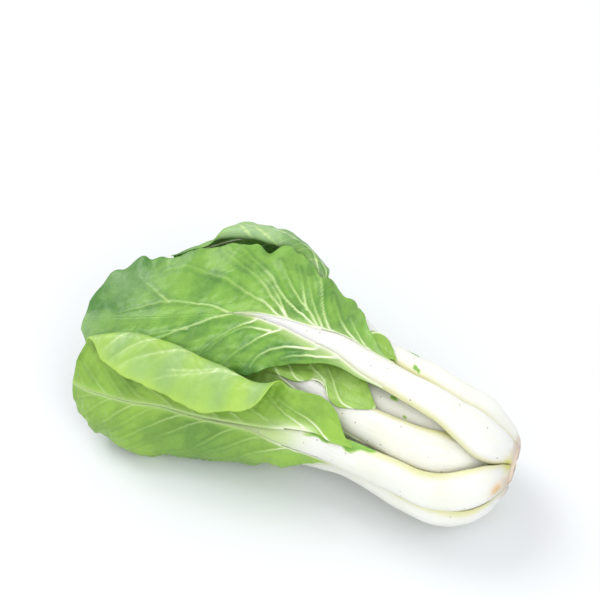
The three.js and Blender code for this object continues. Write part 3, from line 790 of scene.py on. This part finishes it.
# share of its thickness that a midrib sinks into the blade: at a forked end, at a plain one
SUNK_FORK, SUNK_RIB = 0.85, 0.45
STALK_SIDES = {"outer": 64, "inner": 48, "heart": 28}
RING_STEP = 1.3
CUT_RINGS = (0.8, 0.55, 0.3)
CUT_ROUGHNESS = 0.12
# how much further the minus side of a stalk reaches over its neighbour: reach, mm
LAPS = {
    "front_leaf": np.array(
        [[0, 2.5], [4, 3.6], [12, 3.2], [22, 1.4], [34, 0.5], [60, 1], [86, 1], [110, 0], [300, 0]]
    ),
    "low_front_leaf": np.array([[0, 1.4], [4, 1.8], [12, 1.4], [24, 0.6], [50, 0], [300, 0]]),
}
# how much an inner stalk swells where it shows: mm outwards, share that its base is wider
SWELLING = {"inner_front_leaf": (2.4, 0.3), "inner_top_leaf": (1.2, 0.1)}
# middle and radius of a yellow spot and of an orange stain at the cut
SAP_SPOT, SAP_RADIUS = np.array([146.0, -11.5, 59.0]), 5.2
STAIN_SPOT, STAIN_RADIUS = np.array([144.0, -25.8, 50.0]), 5.5
# small scraps of leaf on the stalks: leaf, reach, sideways, size
SCRAPS = [
    ("high_back_leaf", 80, -1.5, 4.2),
    ("high_back_leaf", 74, 12, 2.6),
    ("inner_top_leaf", 81, -2, 2.6),
    ("inner_top_leaf", 71, 7, 1.7),
]
print("stalks that lap:", len(LAPS), "that swell:", len(SWELLING), "scraps:", len(SCRAPS))

# %% Shape a stalk


def leafy_rib(leaf, reach):
    """How far a midrib has thinned to a vein at each reach."""
    return smoothstep(reach, leaf.greens[1] - 16, leaf.greens[1] + 14)


def extra(table, reach):
    """The second column of a table at each reach, or nothing where there is no table."""
    return 0 * reach if table is None else along(table, reach, 1)


def stalk_size(leaf, reach):
    """Half width, thickness, hollow, skin depth and share of rib at each reach."""
    table = STALKS[leaf.ring]
    return (
        along(table, reach, 1) * leaf.wide * (1 - 0.5 * leafy_rib(leaf, reach)),
        along(table, reach, 2),
        along(table, reach, 3),
        along(leaf.spine, reach, 2),
        smoothstep(reach, leaf.joined - JOIN_LENGTH, leaf.joined),
    )


def stalk_tube(leaf, reach, across, height):
    """Points of a stalk's rings and its half width; across and height go round one section."""
    wide, thick, hollow, skin, rib = stalk_size(leaf, reach)
    lift, swell = SWELLING.get(leaf.name, (0, 0))
    wide = wide * (1 + swell * (1 - smoothstep(reach, 26, 64)))
    skin = skin - lift * (1 - smoothstep(reach, 56, 88))
    # the section: a crescent low down, and a rib with a flat back that sinks in at its end
    crown = np.abs(height)
    sunk = thick * leafy_rib(leaf, reach) * (SUNK_FORK if leaf.fork else SUNK_RIB)
    cup = skin + hollow * across**2 * (1 - rib)
    outside = (1 - crown) * (thick / 2) * (1 - rib) + (1 - crown) * thick * rib + sunk * crown
    inside = (1 + crown) * (thick / 2) * (1 - rib) + thick * rib
    sideways = across * wide - extra(LAPS.get(leaf.name), reach) * smoothstep(-across, 0.1, 1)
    # ridges over the bundles of fibres, and soft dents
    uneven = 0.8 * ripple(leaf.seed, reach, sideways, 60)
    fibres = np.cos(2 * math.pi * sideways / RIDGE_STEP + uneven)
    begin = reach[0, 0]
    fading = smoothstep(wide, 2.5, 8) * smoothstep(reach, begin + 2, begin + 18)
    ridge = RIDGE_HEIGHT * fibres * fading * crown
    sway = SWAY_HEIGHT * ripple(leaf.seed + 5, reach, sideways, SWAY_WAVE)
    sway = sway * smoothstep(reach, 8, 30) * crown
    depth = cup + np.where(height >= 0, outside + ridge + sway * (1 - rib), inside)
    points = beside(leaf, reach, sideways, depth).reshape(-1, 3)
    points[:, 2] = np.maximum(points[:, 2], -shift[2] / MM)
    return points, wide


low_width = stalk_size(LEAVES[0], np.array([30.0]))[0][0]
print("half width of the top stalk 30 mm from the cut:", low_width.round(1), "mm")

# %% [markdown]
# The colours of a stalk depend on where a point lies: shade is painted where its edges shade each
# other, the midrib greens towards its end, and the cut has dried. So each point gets these as
# numbers, next to its place along and across the stalk.

# %% Close and colour a stalk


def make_stalk(leaf, material):
    """The white stalk of a leaf with its midrib, closed at both ends."""
    sides = STALK_SIDES[leaf.ring]
    begin, end = STALKS[leaf.ring][0, 0], leaf.tip - 7
    reach = np.linspace(begin, end, int((end - begin) / RING_STEP))[:, None]
    angle = np.linspace(0, 2 * math.pi, sides, endpoint=False)[None, :]
    across = np.cos(angle)
    tube, wide = stalk_tube(leaf, reach, across, np.sin(angle))
    index = np.arange(len(tube)).reshape(-1, sides)
    faces = tube_faces(index)
    first, last = tube[index[0]], tube[index[-1]]
    rings = [tube]
    reaches = [np.broadcast_to(reach, index.shape).ravel()]
    widths = [(across * wide).ravel()]
    # smaller rings close the cut end; only the outer stalks reach the knife's rough cut
    before, start = index[0], len(tube)
    rough = np.random.default_rng(leaf.seed).normal(0, CUT_ROUGHNESS, sides)
    for share in CUT_RINGS:
        ring = first.mean(0) + (first - first.mean(0)) * share
        ring[:, 0] -= np.abs(rough) * (begin == 0)
        here = np.arange(start, start + sides)
        faces += np.stack([before, np.roll(before, -1), np.roll(here, -1), here], axis=-1).tolist()
        rings.append(ring)
        reaches.append(np.full(sides, begin))
        widths.append(across.ravel() * wide[0] * share)
        before, start = here, start + sides
    faces += end_faces(before, index[-1], start)
    points = np.concatenate([*rings, [first.mean(0)], [last.mean(0)]])
    at = np.concatenate([*reaches, [begin], [end]])
    aside = np.concatenate([*widths, [0.0], [0.0]])
    numbers = stalk_numbers(leaf, points, at, aside)
    own = leaf.seed * 7.0
    numbers["stalk_place"] = np.stack([at, aside + 9 * own, 0 * at + own], axis=-1)
    make_piece(leaf.name + "_stalk", points, faces, numbers, material)


def stalk_numbers(leaf, points, reach, sideways):
    """Painted edge shade, and where a stalk is leafy, stained, dried or wet with sap."""
    wide = along(STALKS[leaf.ring], reach, 1) * leaf.wide
    share = sideways / np.maximum(wide, 0.1)
    # painted shade where the edges shade each other; the midrib turns green towards its end
    leafward = smoothstep(reach, *leaf.greens)
    edges = smoothstep(np.abs(share), 0.7, 1.0)
    shaded = edges * (0.7 - 0.3 * smoothstep(reach, 90, 140))
    leafy = smoothstep(reach, leaf.greens[1] - 10, leaf.greens[1] + 12) * (1 if leaf.fork else 0.6)
    leafy = np.maximum(leafy, 0.5 * leafward)
    for name, at_reach, at_side, size in SCRAPS:
        if leaf.name == name:
            slant = (reach - at_reach) / 1.4 + sideways - at_side
            away = 0.7 * np.abs(slant) + np.abs(sideways - at_side - 0.3 * slant)
            leafy = np.maximum(leafy, 1 - smoothstep(away, 0.6 * size, 0.72 * size))
    if leaf.name == "front_leaf":
        # its blade runs on down the stalk as a ragged green strip
        ragged = 0.12 * ripple(3, reach, 0 * reach, 11) - 0.3 * (1 - smoothstep(reach, 80, 96))
        strip = smoothstep(-share + ragged, 0.66, 0.72) * smoothstep(reach, 80, 81.5)
        leafy = np.maximum(leafy, 0.95 * strip * (1 - smoothstep(reach, 122, 134)))
    sap = bell(np.linalg.norm(points - SAP_SPOT, axis=-1), SAP_RADIUS)
    stain = 0.95 * bell(np.linalg.norm(points - STAIN_SPOT, axis=-1), STAIN_RADIUS)
    ragged = reach + 0.8 * ripple(leaf.seed + 9, points[:, 1], points[:, 2], 7)
    dried = 0.9 * (1 - smoothstep(ragged, 0.4, 3.6)) * (leaf.ring == "outer") * (1 - sap)
    return {
        # painted shade at the stalk's edges, none where its midrib turns green
        "painted_edge_shade": np.clip(shaded * (1 - leafward), 0, 1),
        "leafy": leafy,
        "stain": stain * (leaf.name == "front_leaf"),
        "dried": dried,
        "sap": sap,
    }


# %% Make the stalks
for leaf in LEAVES:
    if leaf.ring == "outer":
        make_stalk(leaf, outer_stalk)
    else:
        make_stalk(leaf, inner_stalk)

# %% [markdown]
# ## Veins
#
# Side veins leave the midrib at a small angle, swing out to about 45 degrees, and bend towards the
# tip again near the margin. Each throws off branches that get thinner as they go. They are drawn
# as lines in the plane of the blade, in mm. The mesh then stands up along them and sinks between
# them, which gives the quilted look of the leaf.

# %% Draw the veins of half a blade
VEIN_STEP = 2.0
VEIN_REACH = 12


def part_of_blade(leaf, reach):
    """0 where a blade starts and 1 at its tip."""
    return (reach - leaf.wing) / (leaf.tip - leaf.wing)


def half_width(leaf, half, reach):
    """Width of half a blade at each reach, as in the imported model."""
    if half.span is not None:
        return along(half.span, reach, 1)
    p = np.clip(part_of_blade(leaf, reach), 0, 1)
    fall = 0.5
    climb = fall * half.widest / (1 - half.widest)
    peak = half.widest**climb * (1 - half.widest) ** fall
    bay = 1 + 0.05 * np.sin(9 * p + half.shift) + 0.035 * np.sin(23 * p + 2 * half.shift)
    wing = smoothstep(p, -0.02, 0.34)
    return 0.6 + half.width * wing * bay * p**climb * (1 - p) ** fall / peak


def grow_vein(leaf, half, start, heading, final, width, draw, length):
    """One vein: a row of reach, sideways, width for each step from its start."""
    reach, side = start
    line = [(reach, side, width)]
    travelled, sway = 0.0, 0.0
    while travelled < length:
        span = float(half_width(leaf, half, np.array([reach]))[0])
        share = side / max(span, 1)
        if share > 0.97 or side < -4 or reach > leaf.tip - 2:
            break
        swing = 1 - math.exp(-max(side - start[1], 0) / 9)
        angle = heading + (final - heading) * swing - 0.45 * share**2 + sway
        reach += VEIN_STEP * math.cos(angle)
        side += VEIN_STEP * math.sin(angle)
        travelled += VEIN_STEP
        sway = 0.85 * sway + draw.uniform(-0.05, 0.05)
        line.append((reach, side, width * max(0.25, 1 - 0.85 * travelled / (30 + 1.25 * span))))
    return line


def drawn_vein(width, points):
    """A vein through given points, thinner towards its end."""
    points = np.array(points, float)
    way = np.concatenate([[0], np.cumsum(np.hypot(*np.diff(points, axis=0).T))])
    table = np.stack([way, points[:, 0], points[:, 1]], axis=1)
    at = np.arange(0, way[-1], VEIN_STEP)
    thinner = 0.75 * width * (1 - 0.65 * at / way[-1]) + 1.5 * np.exp(-at / 8)
    return list(zip(along(table, at, 1), along(table, at, 2), thinner))


def branches_of(main, leaf, half, draw):
    """Thin side branches of one vein, to its left and right in turn."""
    branches = []
    step, turn_way = int(draw.integers(4, 8)), 1
    while step < len(main) - 3:
        (r0, s0, w0), (r1, s1, _) = main[step], main[step + 1]
        if s0 > 3:
            way = math.atan2(s1 - s0, r1 - r0) + turn_way * draw.uniform(0.5, 0.8)
            length, width = draw.uniform(8, 17), 0.45 * w0 + 0.2
            branches.append(grow_vein(leaf, half, (r0, s0), way, way, width, draw, length))
        step += int(draw.integers(3, 6))
        turn_way = -turn_way
    return branches


def vein_lines(leaf, half, seed):
    """The main veins of half a blade and the branches that leave them."""
    draw = np.random.default_rng(seed)
    mains = [drawn_vein(width, points) for width, points in half.veins or []]
    reach = leaf.wing + 6
    while half.veins is None and reach < leaf.tip - 14:
        part = part_of_blade(leaf, reach)
        width = (1.6 - 0.8 * part) * draw.uniform(0.85, 1.15)
        final = math.radians(draw.uniform(40, 50))
        heading = math.radians(10 + 22 * part)
        mains.append(grow_vein(leaf, half, (reach, -2.0), heading, final, width, draw, 140))
        reach += (21 - 7 * part) * draw.uniform(0.85, 1.2)
    return mains, [branch for main in mains for branch in branches_of(main, leaf, half, draw)]


shown_veins, shown_branches = vein_lines(LEAVES[1], LEAVES[1].plus, 1)
print("veins:", len(shown_veins), "with branches:", len(shown_branches))

# %% Measure how near each point is to a vein


def vein_fields(lines, reach, across, soft):
    """For each point: how much it is vein, how high it stands, how far the next vein is."""
    mask, height = np.zeros(across.shape), np.zeros(across.shape)
    gap = np.full(across.shape, 30.0)
    for line in lines:
        for (r0, s0, w0), (r1, s1, w1) in zip(line[:-1], line[1:]):
            window = (min(r0, r1) - VEIN_REACH, max(r0, r1) + VEIN_REACH)
            near = slice(*np.searchsorted(reach[:, 0], window))
            dr, ds = r1 - r0, s1 - s0
            pr, ps = reach[near] - r0, across[near] - s0
            t = np.clip((pr * dr + ps * ds) / (dr * dr + ds * ds), 0, 1)
            away = np.hypot(pr - t * dr, ps - t * ds)
            width = w0 + (w1 - w0) * t
            seen = 1 - smoothstep(away, 0.2 * width, 0.5 * width + 0.25 + soft)
            mask[near] = np.maximum(mask[near], smoothstep(width, 0.2, 1.3) * seen)
            height[near] = np.maximum(height[near], 0.36 * width * bell(away, 0.6 * width))
            gap[near] = np.minimum(gap[near], away)
    return mask, height, gap


# %% [markdown]
# ## Blades
#
# A blade is one thin sheet from margin to margin. Below the place where its halves join, it hangs
# on the two flanks of the stalk, and beyond it the sheet passes under the midrib. The leaf in front
# has its upper margin folded over, so its width runs round the fold and back along the outside.
# On a few leaves the blade also creeps a little way over the outside of its own stalk.

# %% Values of the blades
BLADE_THICKNESS = 0.65
FOLD_RADIUS = 4.5
FLOOR_MARGIN = 0.6
FINE_ROWS = 200
COARSE_VEIN_BLUR = 0.4
# wavelengths in mm of the teeth, the frill of the margin, the broad waves and the small ones
TOOTH_WAVE, FRILL_WAVE, BROAD_WAVE, SMALL_WAVE = 13, 17, 46, 6.5
BROAD_HEIGHT, SMALL_HEIGHT = 0.9, 0.22
QUILT_HEIGHT, FINE_QUILT_HEIGHT = 1.5, 0.35
halves = [half for leaf in LEAVES for half in (leaf.plus, leaf.minus)]
print("halves:", len(halves), "with a fold:", sum(half.fold is not None for half in halves))

# %% Shape half a blade


def over_stalk(leaf, reach, out, depth, weight):
    """Depth of a blade where it creeps over the outside of its own stalk."""
    wide, thick, hollow, skin, rib = stalk_size(leaf, reach)
    n = np.clip(out / wide, -0.9, 0.9)
    rise = (1 - np.sqrt(1 - n**2)) * (thick / 2 * (1 - rib) + thick * rib)
    past = 0.35 * np.maximum(0, out - 0.9 * wide)
    limit = skin + hollow * n**2 * (1 - rib) + rise - 0.75 + past
    return depth + (np.minimum(depth, limit) - depth) * weight


def fold_over(half, reach, across, out, depth, relief):
    """Turns the part of a sheet past its fold back over the outside, with its relief reversed."""
    past = across - along(half.fold, reach, 1)
    turned = np.clip(past / FOLD_RADIUS, 0, math.pi)
    back = np.maximum(0, past - math.pi * FOLD_RADIUS)
    lift = FOLD_RADIUS * (1 - np.cos(turned)) + 0.12 * back
    out = np.where(past > 0, out + FOLD_RADIUS * np.sin(turned) - past - back, out)
    depth = np.where(past > 0, depth - lift, depth)
    depth = np.where(past > 0, depth + (np.cos(turned) - 1) * relief, depth)
    return out, depth, smoothstep(past, -2, 9)


def blade_half(leaf, half, side, reach):
    """Points, veins and colour numbers of half a blade, from the midrib to the margin."""
    seed = leaf.seed * 10 + (1 if side > 0 else 2)
    share = np.linspace(0, 1, half.columns + 1)[None, :]
    span = half_width(leaf, half, reach)
    tooth = half.teeth * ripple(seed, reach, 0 * reach, TOOTH_WAVE, 4) * smoothstep(span, 4, 16)
    across = (span + tooth) * share
    margin = np.maximum(span - across, 0)
    # it leaves the flank of its stalk, or the underside of the rib
    wide, thick, hollow, skin, rib = stalk_size(leaf, reach)
    root = skin + (hollow + thick / 2) * (1 - rib) + (thick - 0.1) * rib
    creep = extra(half.creep, reach)
    kept = wide / (1 - 0.5 * leafy_rib(leaf, reach)) - wide
    start = np.maximum(wide - 0.7, 0.25)
    out = start - creep * (1 - smoothstep(across, 0, 14)) + across + kept * share
    turns = 2 * math.pi * half.waves * part_of_blade(leaf, reach) + half.shift
    wave = 0.5 + 0.5 * np.sin(turns)
    grown = np.minimum(1, across / 25)
    depth = root + (half.edge * share**1.5 - half.ruffle * wave * share**2) * grown

    mains, branches = vein_lines(leaf, half, seed)
    soft = 0 if leaf.rows > FINE_ROWS else COARSE_VEIN_BLUR
    mask, height, gap = vein_fields(mains, reach, across, soft)
    faint, low, near = vein_fields(branches, reach, across, soft)
    past_green = smoothstep(reach, leaf.greens[1] - 22, leaf.greens[1] + 4)

    # relief: quilt between the veins, frill of the margin, broad and small waves
    quilt = QUILT_HEIGHT * (1 - np.exp(-gap / 4.5)) + FINE_QUILT_HEIGHT * (1 - np.exp(-near / 2))
    quilt = quilt * smoothstep(across, 0, 8)
    frill = half.frill * ripple(seed + 3, reach, across, FRILL_WAVE) * np.exp(-margin / 7)
    frill = frill * smoothstep(span, 8, 24)
    sway = BROAD_HEIGHT * ripple(seed + 4, reach, across, BROAD_WAVE) * smoothstep(across, 2, 18)
    small = SMALL_HEIGHT * ripple(seed + 5, reach, across, SMALL_WAVE) * smoothstep(across, 2, 8)
    relief = quilt * 0.75 + frill + sway + small
    depth = depth + relief * (0.35 if leaf.ring == "heart" else 1)
    # the sheet swells up against the rib and against the flank
    depth = depth - 0.55 * thick * bell(across, 1.6) * rib * (1 - past_green * leaf.fork)
    depth = depth - 0.24 * thick * bell(across, 2.5) * (1 - rib)
    depth = over_stalk(leaf, reach, out, depth, smoothstep(creep, 0, 1.5))

    # colours: veins fade towards the margin, and the outside of a fold shows them as fine lines
    flap = np.zeros(across.shape)
    fade = 1 - 0.3 * smoothstep(across, 3, 14) - 0.2 * smoothstep(across, 14, 45)
    strong = mask * fade * (1 - 0.4 * past_green)
    if half.fold is not None:
        out, depth, flap = fold_over(half, reach, across, out, depth, relief)
        lines = 0.62 * bell(gap, 0.75) + 0.3 * bell(near, 0.6)
        strong = np.maximum(strong, lines * flap * (1 - 0.75 * smoothstep(share, 0.72, 1)))
    joined = smoothstep(reach, leaf.joined, leaf.joined + 50)
    pale = np.exp(-across / (1.6 + 2.6 * (1 - joined))) * (1 - smoothstep(creep, 0, 1.5))
    pale = pale * (1 - past_green * (1 if leaf.fork else 0.45))
    return beside(leaf, reach, side * out, depth), {
        "vein": np.clip(np.maximum(np.maximum(strong, 0.26 * faint), pale), 0, 1),
        # painted shade in the groove beside each vein
        "painted_groove_shade": bell(gap - 1.7, 1.1) * smoothstep(across, 2, 6) * (1 - mask),
        "height": np.maximum(height, 0.5 * low),
        "margin": margin,
        "flap": flap,
        "across": side * across,
    }


# %% [markdown]
# The two halves are joined into one grid. Pushing the grid out along its normals to both sides
# gives the sheet its thickness, and a strip of faces closes it round the rim. That keeps the
# thickness even, where a modifier would pinch it at the fold.

# %% Close a blade


def sheet_normals(points):
    """Unit normals of a grid of points, by differences along its rows and columns."""
    normal = np.cross(np.gradient(points, axis=0), np.gradient(points, axis=1))
    return normal / np.maximum(np.linalg.norm(normal, axis=-1, keepdims=True), 1e-9)


def make_blade(leaf, material):
    """The green blade of a leaf, closed round its margin."""
    share = 1 - (1 - np.linspace(0, 1, leaf.rows + 1)) ** 1.25
    reach = (leaf.wing + (leaf.tip - 0.8 - leaf.wing) * share)[:, None]
    minus, minus_numbers = blade_half(leaf, leaf.minus, -1, reach)
    plus, plus_numbers = blade_half(leaf, leaf.plus, 1, reach)
    _, thick, _, skin, _ = stalk_size(leaf, reach)
    middle = beside(leaf, reach, 0 * reach, skin + thick - 0.1)
    grid = np.concatenate([minus[:, ::-1], middle, plus], axis=1)
    numbers = {}
    for key, right in plus_numbers.items():
        left = minus_numbers[key]
        centre = np.maximum(right[:, :1], left[:, :1]) if key == "vein" else 0 * reach
        numbers[key] = np.concatenate([left[:, ::-1], centre, right], axis=1)

    # the two faces of the sheet, thinner at the margin, with the veins standing up on the outer one
    plus_normals, minus_normals = sheet_normals(plus), sheet_normals(minus[:, ::-1])
    middle_normals = (plus_normals[:, :1] + minus_normals[:, -1:]) / 2
    normals = np.concatenate([minus_normals, middle_normals, plus_normals], axis=1)
    inside = place(leaf.ring, reach, np.zeros_like(reach), along(BODY, reach, 4))
    away = np.sum((middle[:, 0] - inside[:, 0]) * middle_normals[:, 0], axis=-1)
    if np.median(away) < 0:
        normals = -normals
    thickness = BLADE_THICKNESS * (0.55 + 0.45 * smoothstep(numbers["margin"], 0, 1.5)) / 2
    top = grid + normals * (thickness + numbers["height"])[..., None]
    under = grid - normals * (thickness + 0.15 * numbers["height"])[..., None]

    # quads, with a gap for the stalk below the place where the halves join
    rows, columns = grid.shape[:2]
    index = np.arange(rows * columns).reshape(rows, columns)
    cells = np.stack([index[:-1, :-1], index[:-1, 1:], index[1:, 1:], index[1:, :-1]], axis=-1)
    keep = np.ones((rows - 1, columns - 1), bool)
    centre_column = leaf.minus.columns + 1
    keep[reach[:-1, 0] < leaf.joined, centre_column - 1 : centre_column + 1] = False
    points, faces, used = close_sheet(top, under, cells[keep])
    numbers = {key: values.ravel() for key, values in numbers.items()}
    at = np.broadcast_to(reach, (rows, columns)).ravel()
    deep_and_shade, yellow, bloom = blade_tones(leaf, at, numbers)
    spot = np.stack([at, numbers["across"], np.full(len(at), leaf.seed * 9.0)], axis=-1)
    both_faces = {
        "vein": (numbers["vein"], numbers["vein"]),
        "deep_and_shade": (deep_and_shade, deep_and_shade + 0.12),
        "yellow": (yellow, yellow),
        "bloom": (bloom, 0.1 + 0.9 * bloom),
        "leaf_place": (spot, spot),
    }
    carried = {key: np.concatenate(pair)[used] for key, pair in both_faces.items()}
    make_piece(leaf.name + "_blade", points, faces, carried, material)


def close_sheet(top, under, quads):
    """One closed skin from the two faces of a sheet, and the numbers of the points that it uses."""
    total = top.shape[0] * top.shape[1]
    # an edge that only one quad has lies on the rim
    edges = np.concatenate([quads[:, [k, (k + 1) % 4]] for k in range(4)])
    keys = edges.min(1) * total + edges.max(1)
    _, first, count = np.unique(keys, return_index=True, return_counts=True)
    rim = edges[first[count == 1]]
    around = np.stack([rim[:, 1], rim[:, 0], rim[:, 0] + total, rim[:, 1] + total], axis=-1)
    faces = np.concatenate([quads, quads[:, ::-1] + total, around])
    # what would dip under the floor is pressed flat a little above it
    points = np.concatenate([top.reshape(-1, 3), under.reshape(-1, 3)])
    height = points[:, 2] + shift[2] / MM
    settled = FLOOR_MARGIN * np.exp(np.minimum(height, FLOOR_MARGIN) / FLOOR_MARGIN - 1)
    points[:, 2] += np.where(height < FLOOR_MARGIN, settled - height, 0)
    used, renumbered = np.unique(faces, return_inverse=True)
    return points[used], renumbered.reshape(-1, 4).tolist(), used


# %% [markdown]
# No two leaves of the head have the same green. The far end of the top leaf is the darkest, the
# front leaf is yellowest at the rim of its fold, and the roll of the leaf behind has a pale bloom.
# Shade is painted beside the veins, on the front leaf below its fold and on the top leaf beside it.

# %% Colour a blade


def blade_tones(leaf, reach, numbers):
    """Deep tone and painted shade, yellow and pale bloom at each point of a blade."""
    across, flap, margin = numbers["across"], numbers["flap"], numbers["margin"]
    far = smoothstep(reach, 225, 292)
    cloud = 0.5 + 0.5 * ripple(leaf.seed + 31, reach, across, 40)
    # deeper at the far end and the margin, with painted shade in the grooves beside the veins
    deep_and_shade = 0.06 + 0.25 * far + 0.22 * np.exp(-margin / 9) * cloud + 0.35 * numbers["painted_groove_shade"]
    yellow = 0.12 * cloud
    bloom = 0 * reach
    if leaf.name == "top_leaf":
        # darker far end of its high half, and painted shade towards the margin of its low half
        deep_and_shade = deep_and_shade + 0.5 * far * smoothstep(-across, -5, 30) + 0.3 * smoothstep(across, 14, 34)
        bloom = 0.3 * far * cloud
    if leaf.name == "front_leaf":
        small = 0.5 + 0.5 * ripple(leaf.seed + 32, reach, across, 22)
        rim = np.exp(-margin / 2.5)
        # painted shadow below the fold, in the middle of the leaf: deeper and less yellow there
        shaded = smoothstep(reach, 142, 178) * (1 - smoothstep(reach, 215, 252))
        shaded = shaded * smoothstep(across, -4, 6)
        yellow = yellow + 0.36 + (0.25 * small + 0.05 + 0.4 * rim) * flap - 0.16 * shaded
        deep_and_shade = deep_and_shade * (1 - 0.8 * flap) + 0.55 * shaded + 0.2 * flap * (1 - small) * (1 - rim)
        bloom = 0.3 * flap * (1 - small) * (1 - rim)
    if leaf.name == "inner_front_leaf":
        yellow = yellow + 0.35
    if leaf.name == "high_back_leaf":
        rolled = smoothstep(reach, 178, 200)
        yellow = yellow + 0.4 * (1 - smoothstep(reach, 110, 125)) + 0.2 * flap * rolled
        bloom = 0.75 * flap * rolled * (1 - np.exp(-margin / 10))
        deep_and_shade = deep_and_shade + 0.45 * flap * (1 - rolled)
    if leaf.name in ("inner_back_leaf", "inner_top_leaf"):
        deep_and_shade = deep_and_shade + 0.3
    return np.clip(deep_and_shade, 0, 1), np.clip(yellow, 0, 1), np.clip(bloom, 0, 1)


# %% Make the blades
for leaf in LEAVES:
    if leaf.ring == "outer":
        make_blade(leaf, outer_blade)
    else:
        make_blade(leaf, inner_blade)

# %% [markdown]
# ## The cut stem
#
# At the base the knife left a round face with the ends of the stalks round it. It has dried a
# little: pale in the middle, tan towards the rim, with a rough surface and a few fine rings.

# %% Make the cut stem
STEM_RADIUS = 13.2
STEM_LENGTH = 29.0
STEM_SIDES = 96


def stem_material():
    """Cut plant tissue: soft rings and grain, tan at the rim, moist behind it."""
    material, tree, shader = start_material("cut stem")
    place = read(tree, "stem_place", "Vector")
    grains = add_group(tree, grain_group, place, Grains_per_mm=0.9).outputs["Height"]
    waves = {"Vector": place, "Scale": 0.32, "Distortion": 6, "Detail": 2, "Detail Scale": 0.4}
    kind = {"wave_type": "RINGS", "rings_direction": "X"}
    rings = add_node(tree, "ShaderNodeTexWave", waves, **kind).outputs["Fac"]
    color = paint(
        tree,
        mix_colors(tree, rings, (0.78, 0.68, 0.54), (0.68, 0.55, 0.4)),
        (read(tree, "dried"), (0.56, 0.38, 0.26)),
        (read(tree, "moist"), (0.78, 0.76, 0.34)),
    )
    finish_material(
        tree,
        shader,
        color,
        remap(tree, grains, 0.3, 0.7, 0.5, 0.75),
        grains,
        (0.7, 0.0004),
        Subsurface_Weight=0.15,
        Subsurface_Radius=(0.003, 0.002, 0.001),
        Subsurface_Scale=1.0,
    )
    return material


def make_stem():
    """A disc with a rough face and a rounded inner end."""
    angle = np.linspace(0, 2 * math.pi, STEM_SIDES, endpoint=False)
    profile = [(share, 0.0) for share in np.linspace(0.06, 1.0, 15)]
    profile += [(1.0 - 0.45 * (k / 8) ** 2.2, k / 8) for k in range(1, 9)]
    rings, reach, radius = [], [], []
    lobes = 1 + 0.035 * np.cos(6 * angle + 0.6) + 0.02 * np.cos(11 * angle)
    for share, inward in profile:
        r = STEM_RADIUS * share * lobes
        y, z = r * np.cos(angle), r * np.sin(angle)
        rough = 0.22 * ripple(5, y, z, 3.4) + 0.25 * ripple(6, y, z, 11) if inward == 0 else 0 * y
        x = CUT_X - STEM_LENGTH * inward - 0.35 - rough * (share < 0.99)
        rings.append(np.stack([x, y, z + CUT_Z], axis=-1))
        reach.append(np.full(STEM_SIDES, STEM_LENGTH * inward))
        radius.append(np.full(STEM_SIDES, share))
    ends = [[CUT_X - 0.4, 0, CUT_Z], [CUT_X - STEM_LENGTH - 0.6, 0, CUT_Z]]
    points = np.concatenate([*rings, ends])
    index = np.arange(len(points) - 2).reshape(-1, STEM_SIDES)
    faces = tube_faces(index) + end_faces(index[0], index[-1], len(points) - 2)
    share = np.concatenate([*radius, [0.0], [0.0]])
    away = np.concatenate([*reach, [0.0], [STEM_LENGTH]])
    numbers = {
        "dried": smoothstep(share, 0.55, 1.0) * 0.8 * (1 - smoothstep(away, 2, 8)),
        "moist": smoothstep(away, 0.5, 4),
        "stem_place": points - np.array([CUT_X, 0, CUT_Z]),
    }
    make_piece("cut_stem", points, faces, numbers, stem_material())


make_stem()

# %% [markdown]
# ## Floor and light
#
# The head lies on a plain pale floor. One large soft light stands behind it on the left and a
# weaker one in front of it on the right. With a pale sky they give it round forms without hard
# shadows.

# %% Floor, lights and sky
FLOOR_HALF = 3.0
LIGHTS_LOOK_AT = Vector((0, 0, 0.04))

floor_mesh = bpy.data.meshes.new("floor")
square = [(-1, -1), (1, -1), (1, 1), (-1, 1)]
corners = [(FLOOR_HALF * x, FLOOR_HALF * y, 0) for x, y in square]
floor_mesh.from_pydata(corners, [], [(0, 1, 2, 3)])
floor = bpy.data.objects.new("floor", floor_mesh)
bpy.context.scene.collection.objects.link(floor)
floor_material, _, floor_shader = start_material("pale floor")
floor_shader.inputs["Base Color"].default_value = (0.8, 0.82, 0.84, 1)
floor_shader.inputs["Roughness"].default_value = 0.6
floor_mesh.materials.append(floor_material)


def soft_light(name, position, size, power, color):
    """A square area light that looks at the head."""
    light = bpy.data.lights.new(name, "AREA")
    light.shape, light.size, light.energy, light.color = "SQUARE", size, power, color
    lamp = bpy.data.objects.new(name, light)
    lamp.location = position
    lamp.rotation_mode = "QUATERNION"
    lamp.rotation_quaternion = (LIGHTS_LOOK_AT - Vector(position)).to_track_quat("-Z", "Y")
    bpy.context.scene.collection.objects.link(lamp)


soft_light("key_light", (-0.9, 0.35, 1.3), 0.9, 10.8, (1, 0.985, 0.96))
soft_light("fill_light", (1.1, -1.0, 0.9), 1.2, 9, (0.985, 0.99, 1))
world = bpy.data.worlds.new("studio")
world.use_nodes = True
world.node_tree.nodes["Background"].inputs["Color"].default_value = (0.97, 0.98, 1, 1)
world.node_tree.nodes["Background"].inputs["Strength"].default_value = 0.9
bpy.context.scene.world = world
bpy.context.scene.view_settings.view_transform = "Standard"
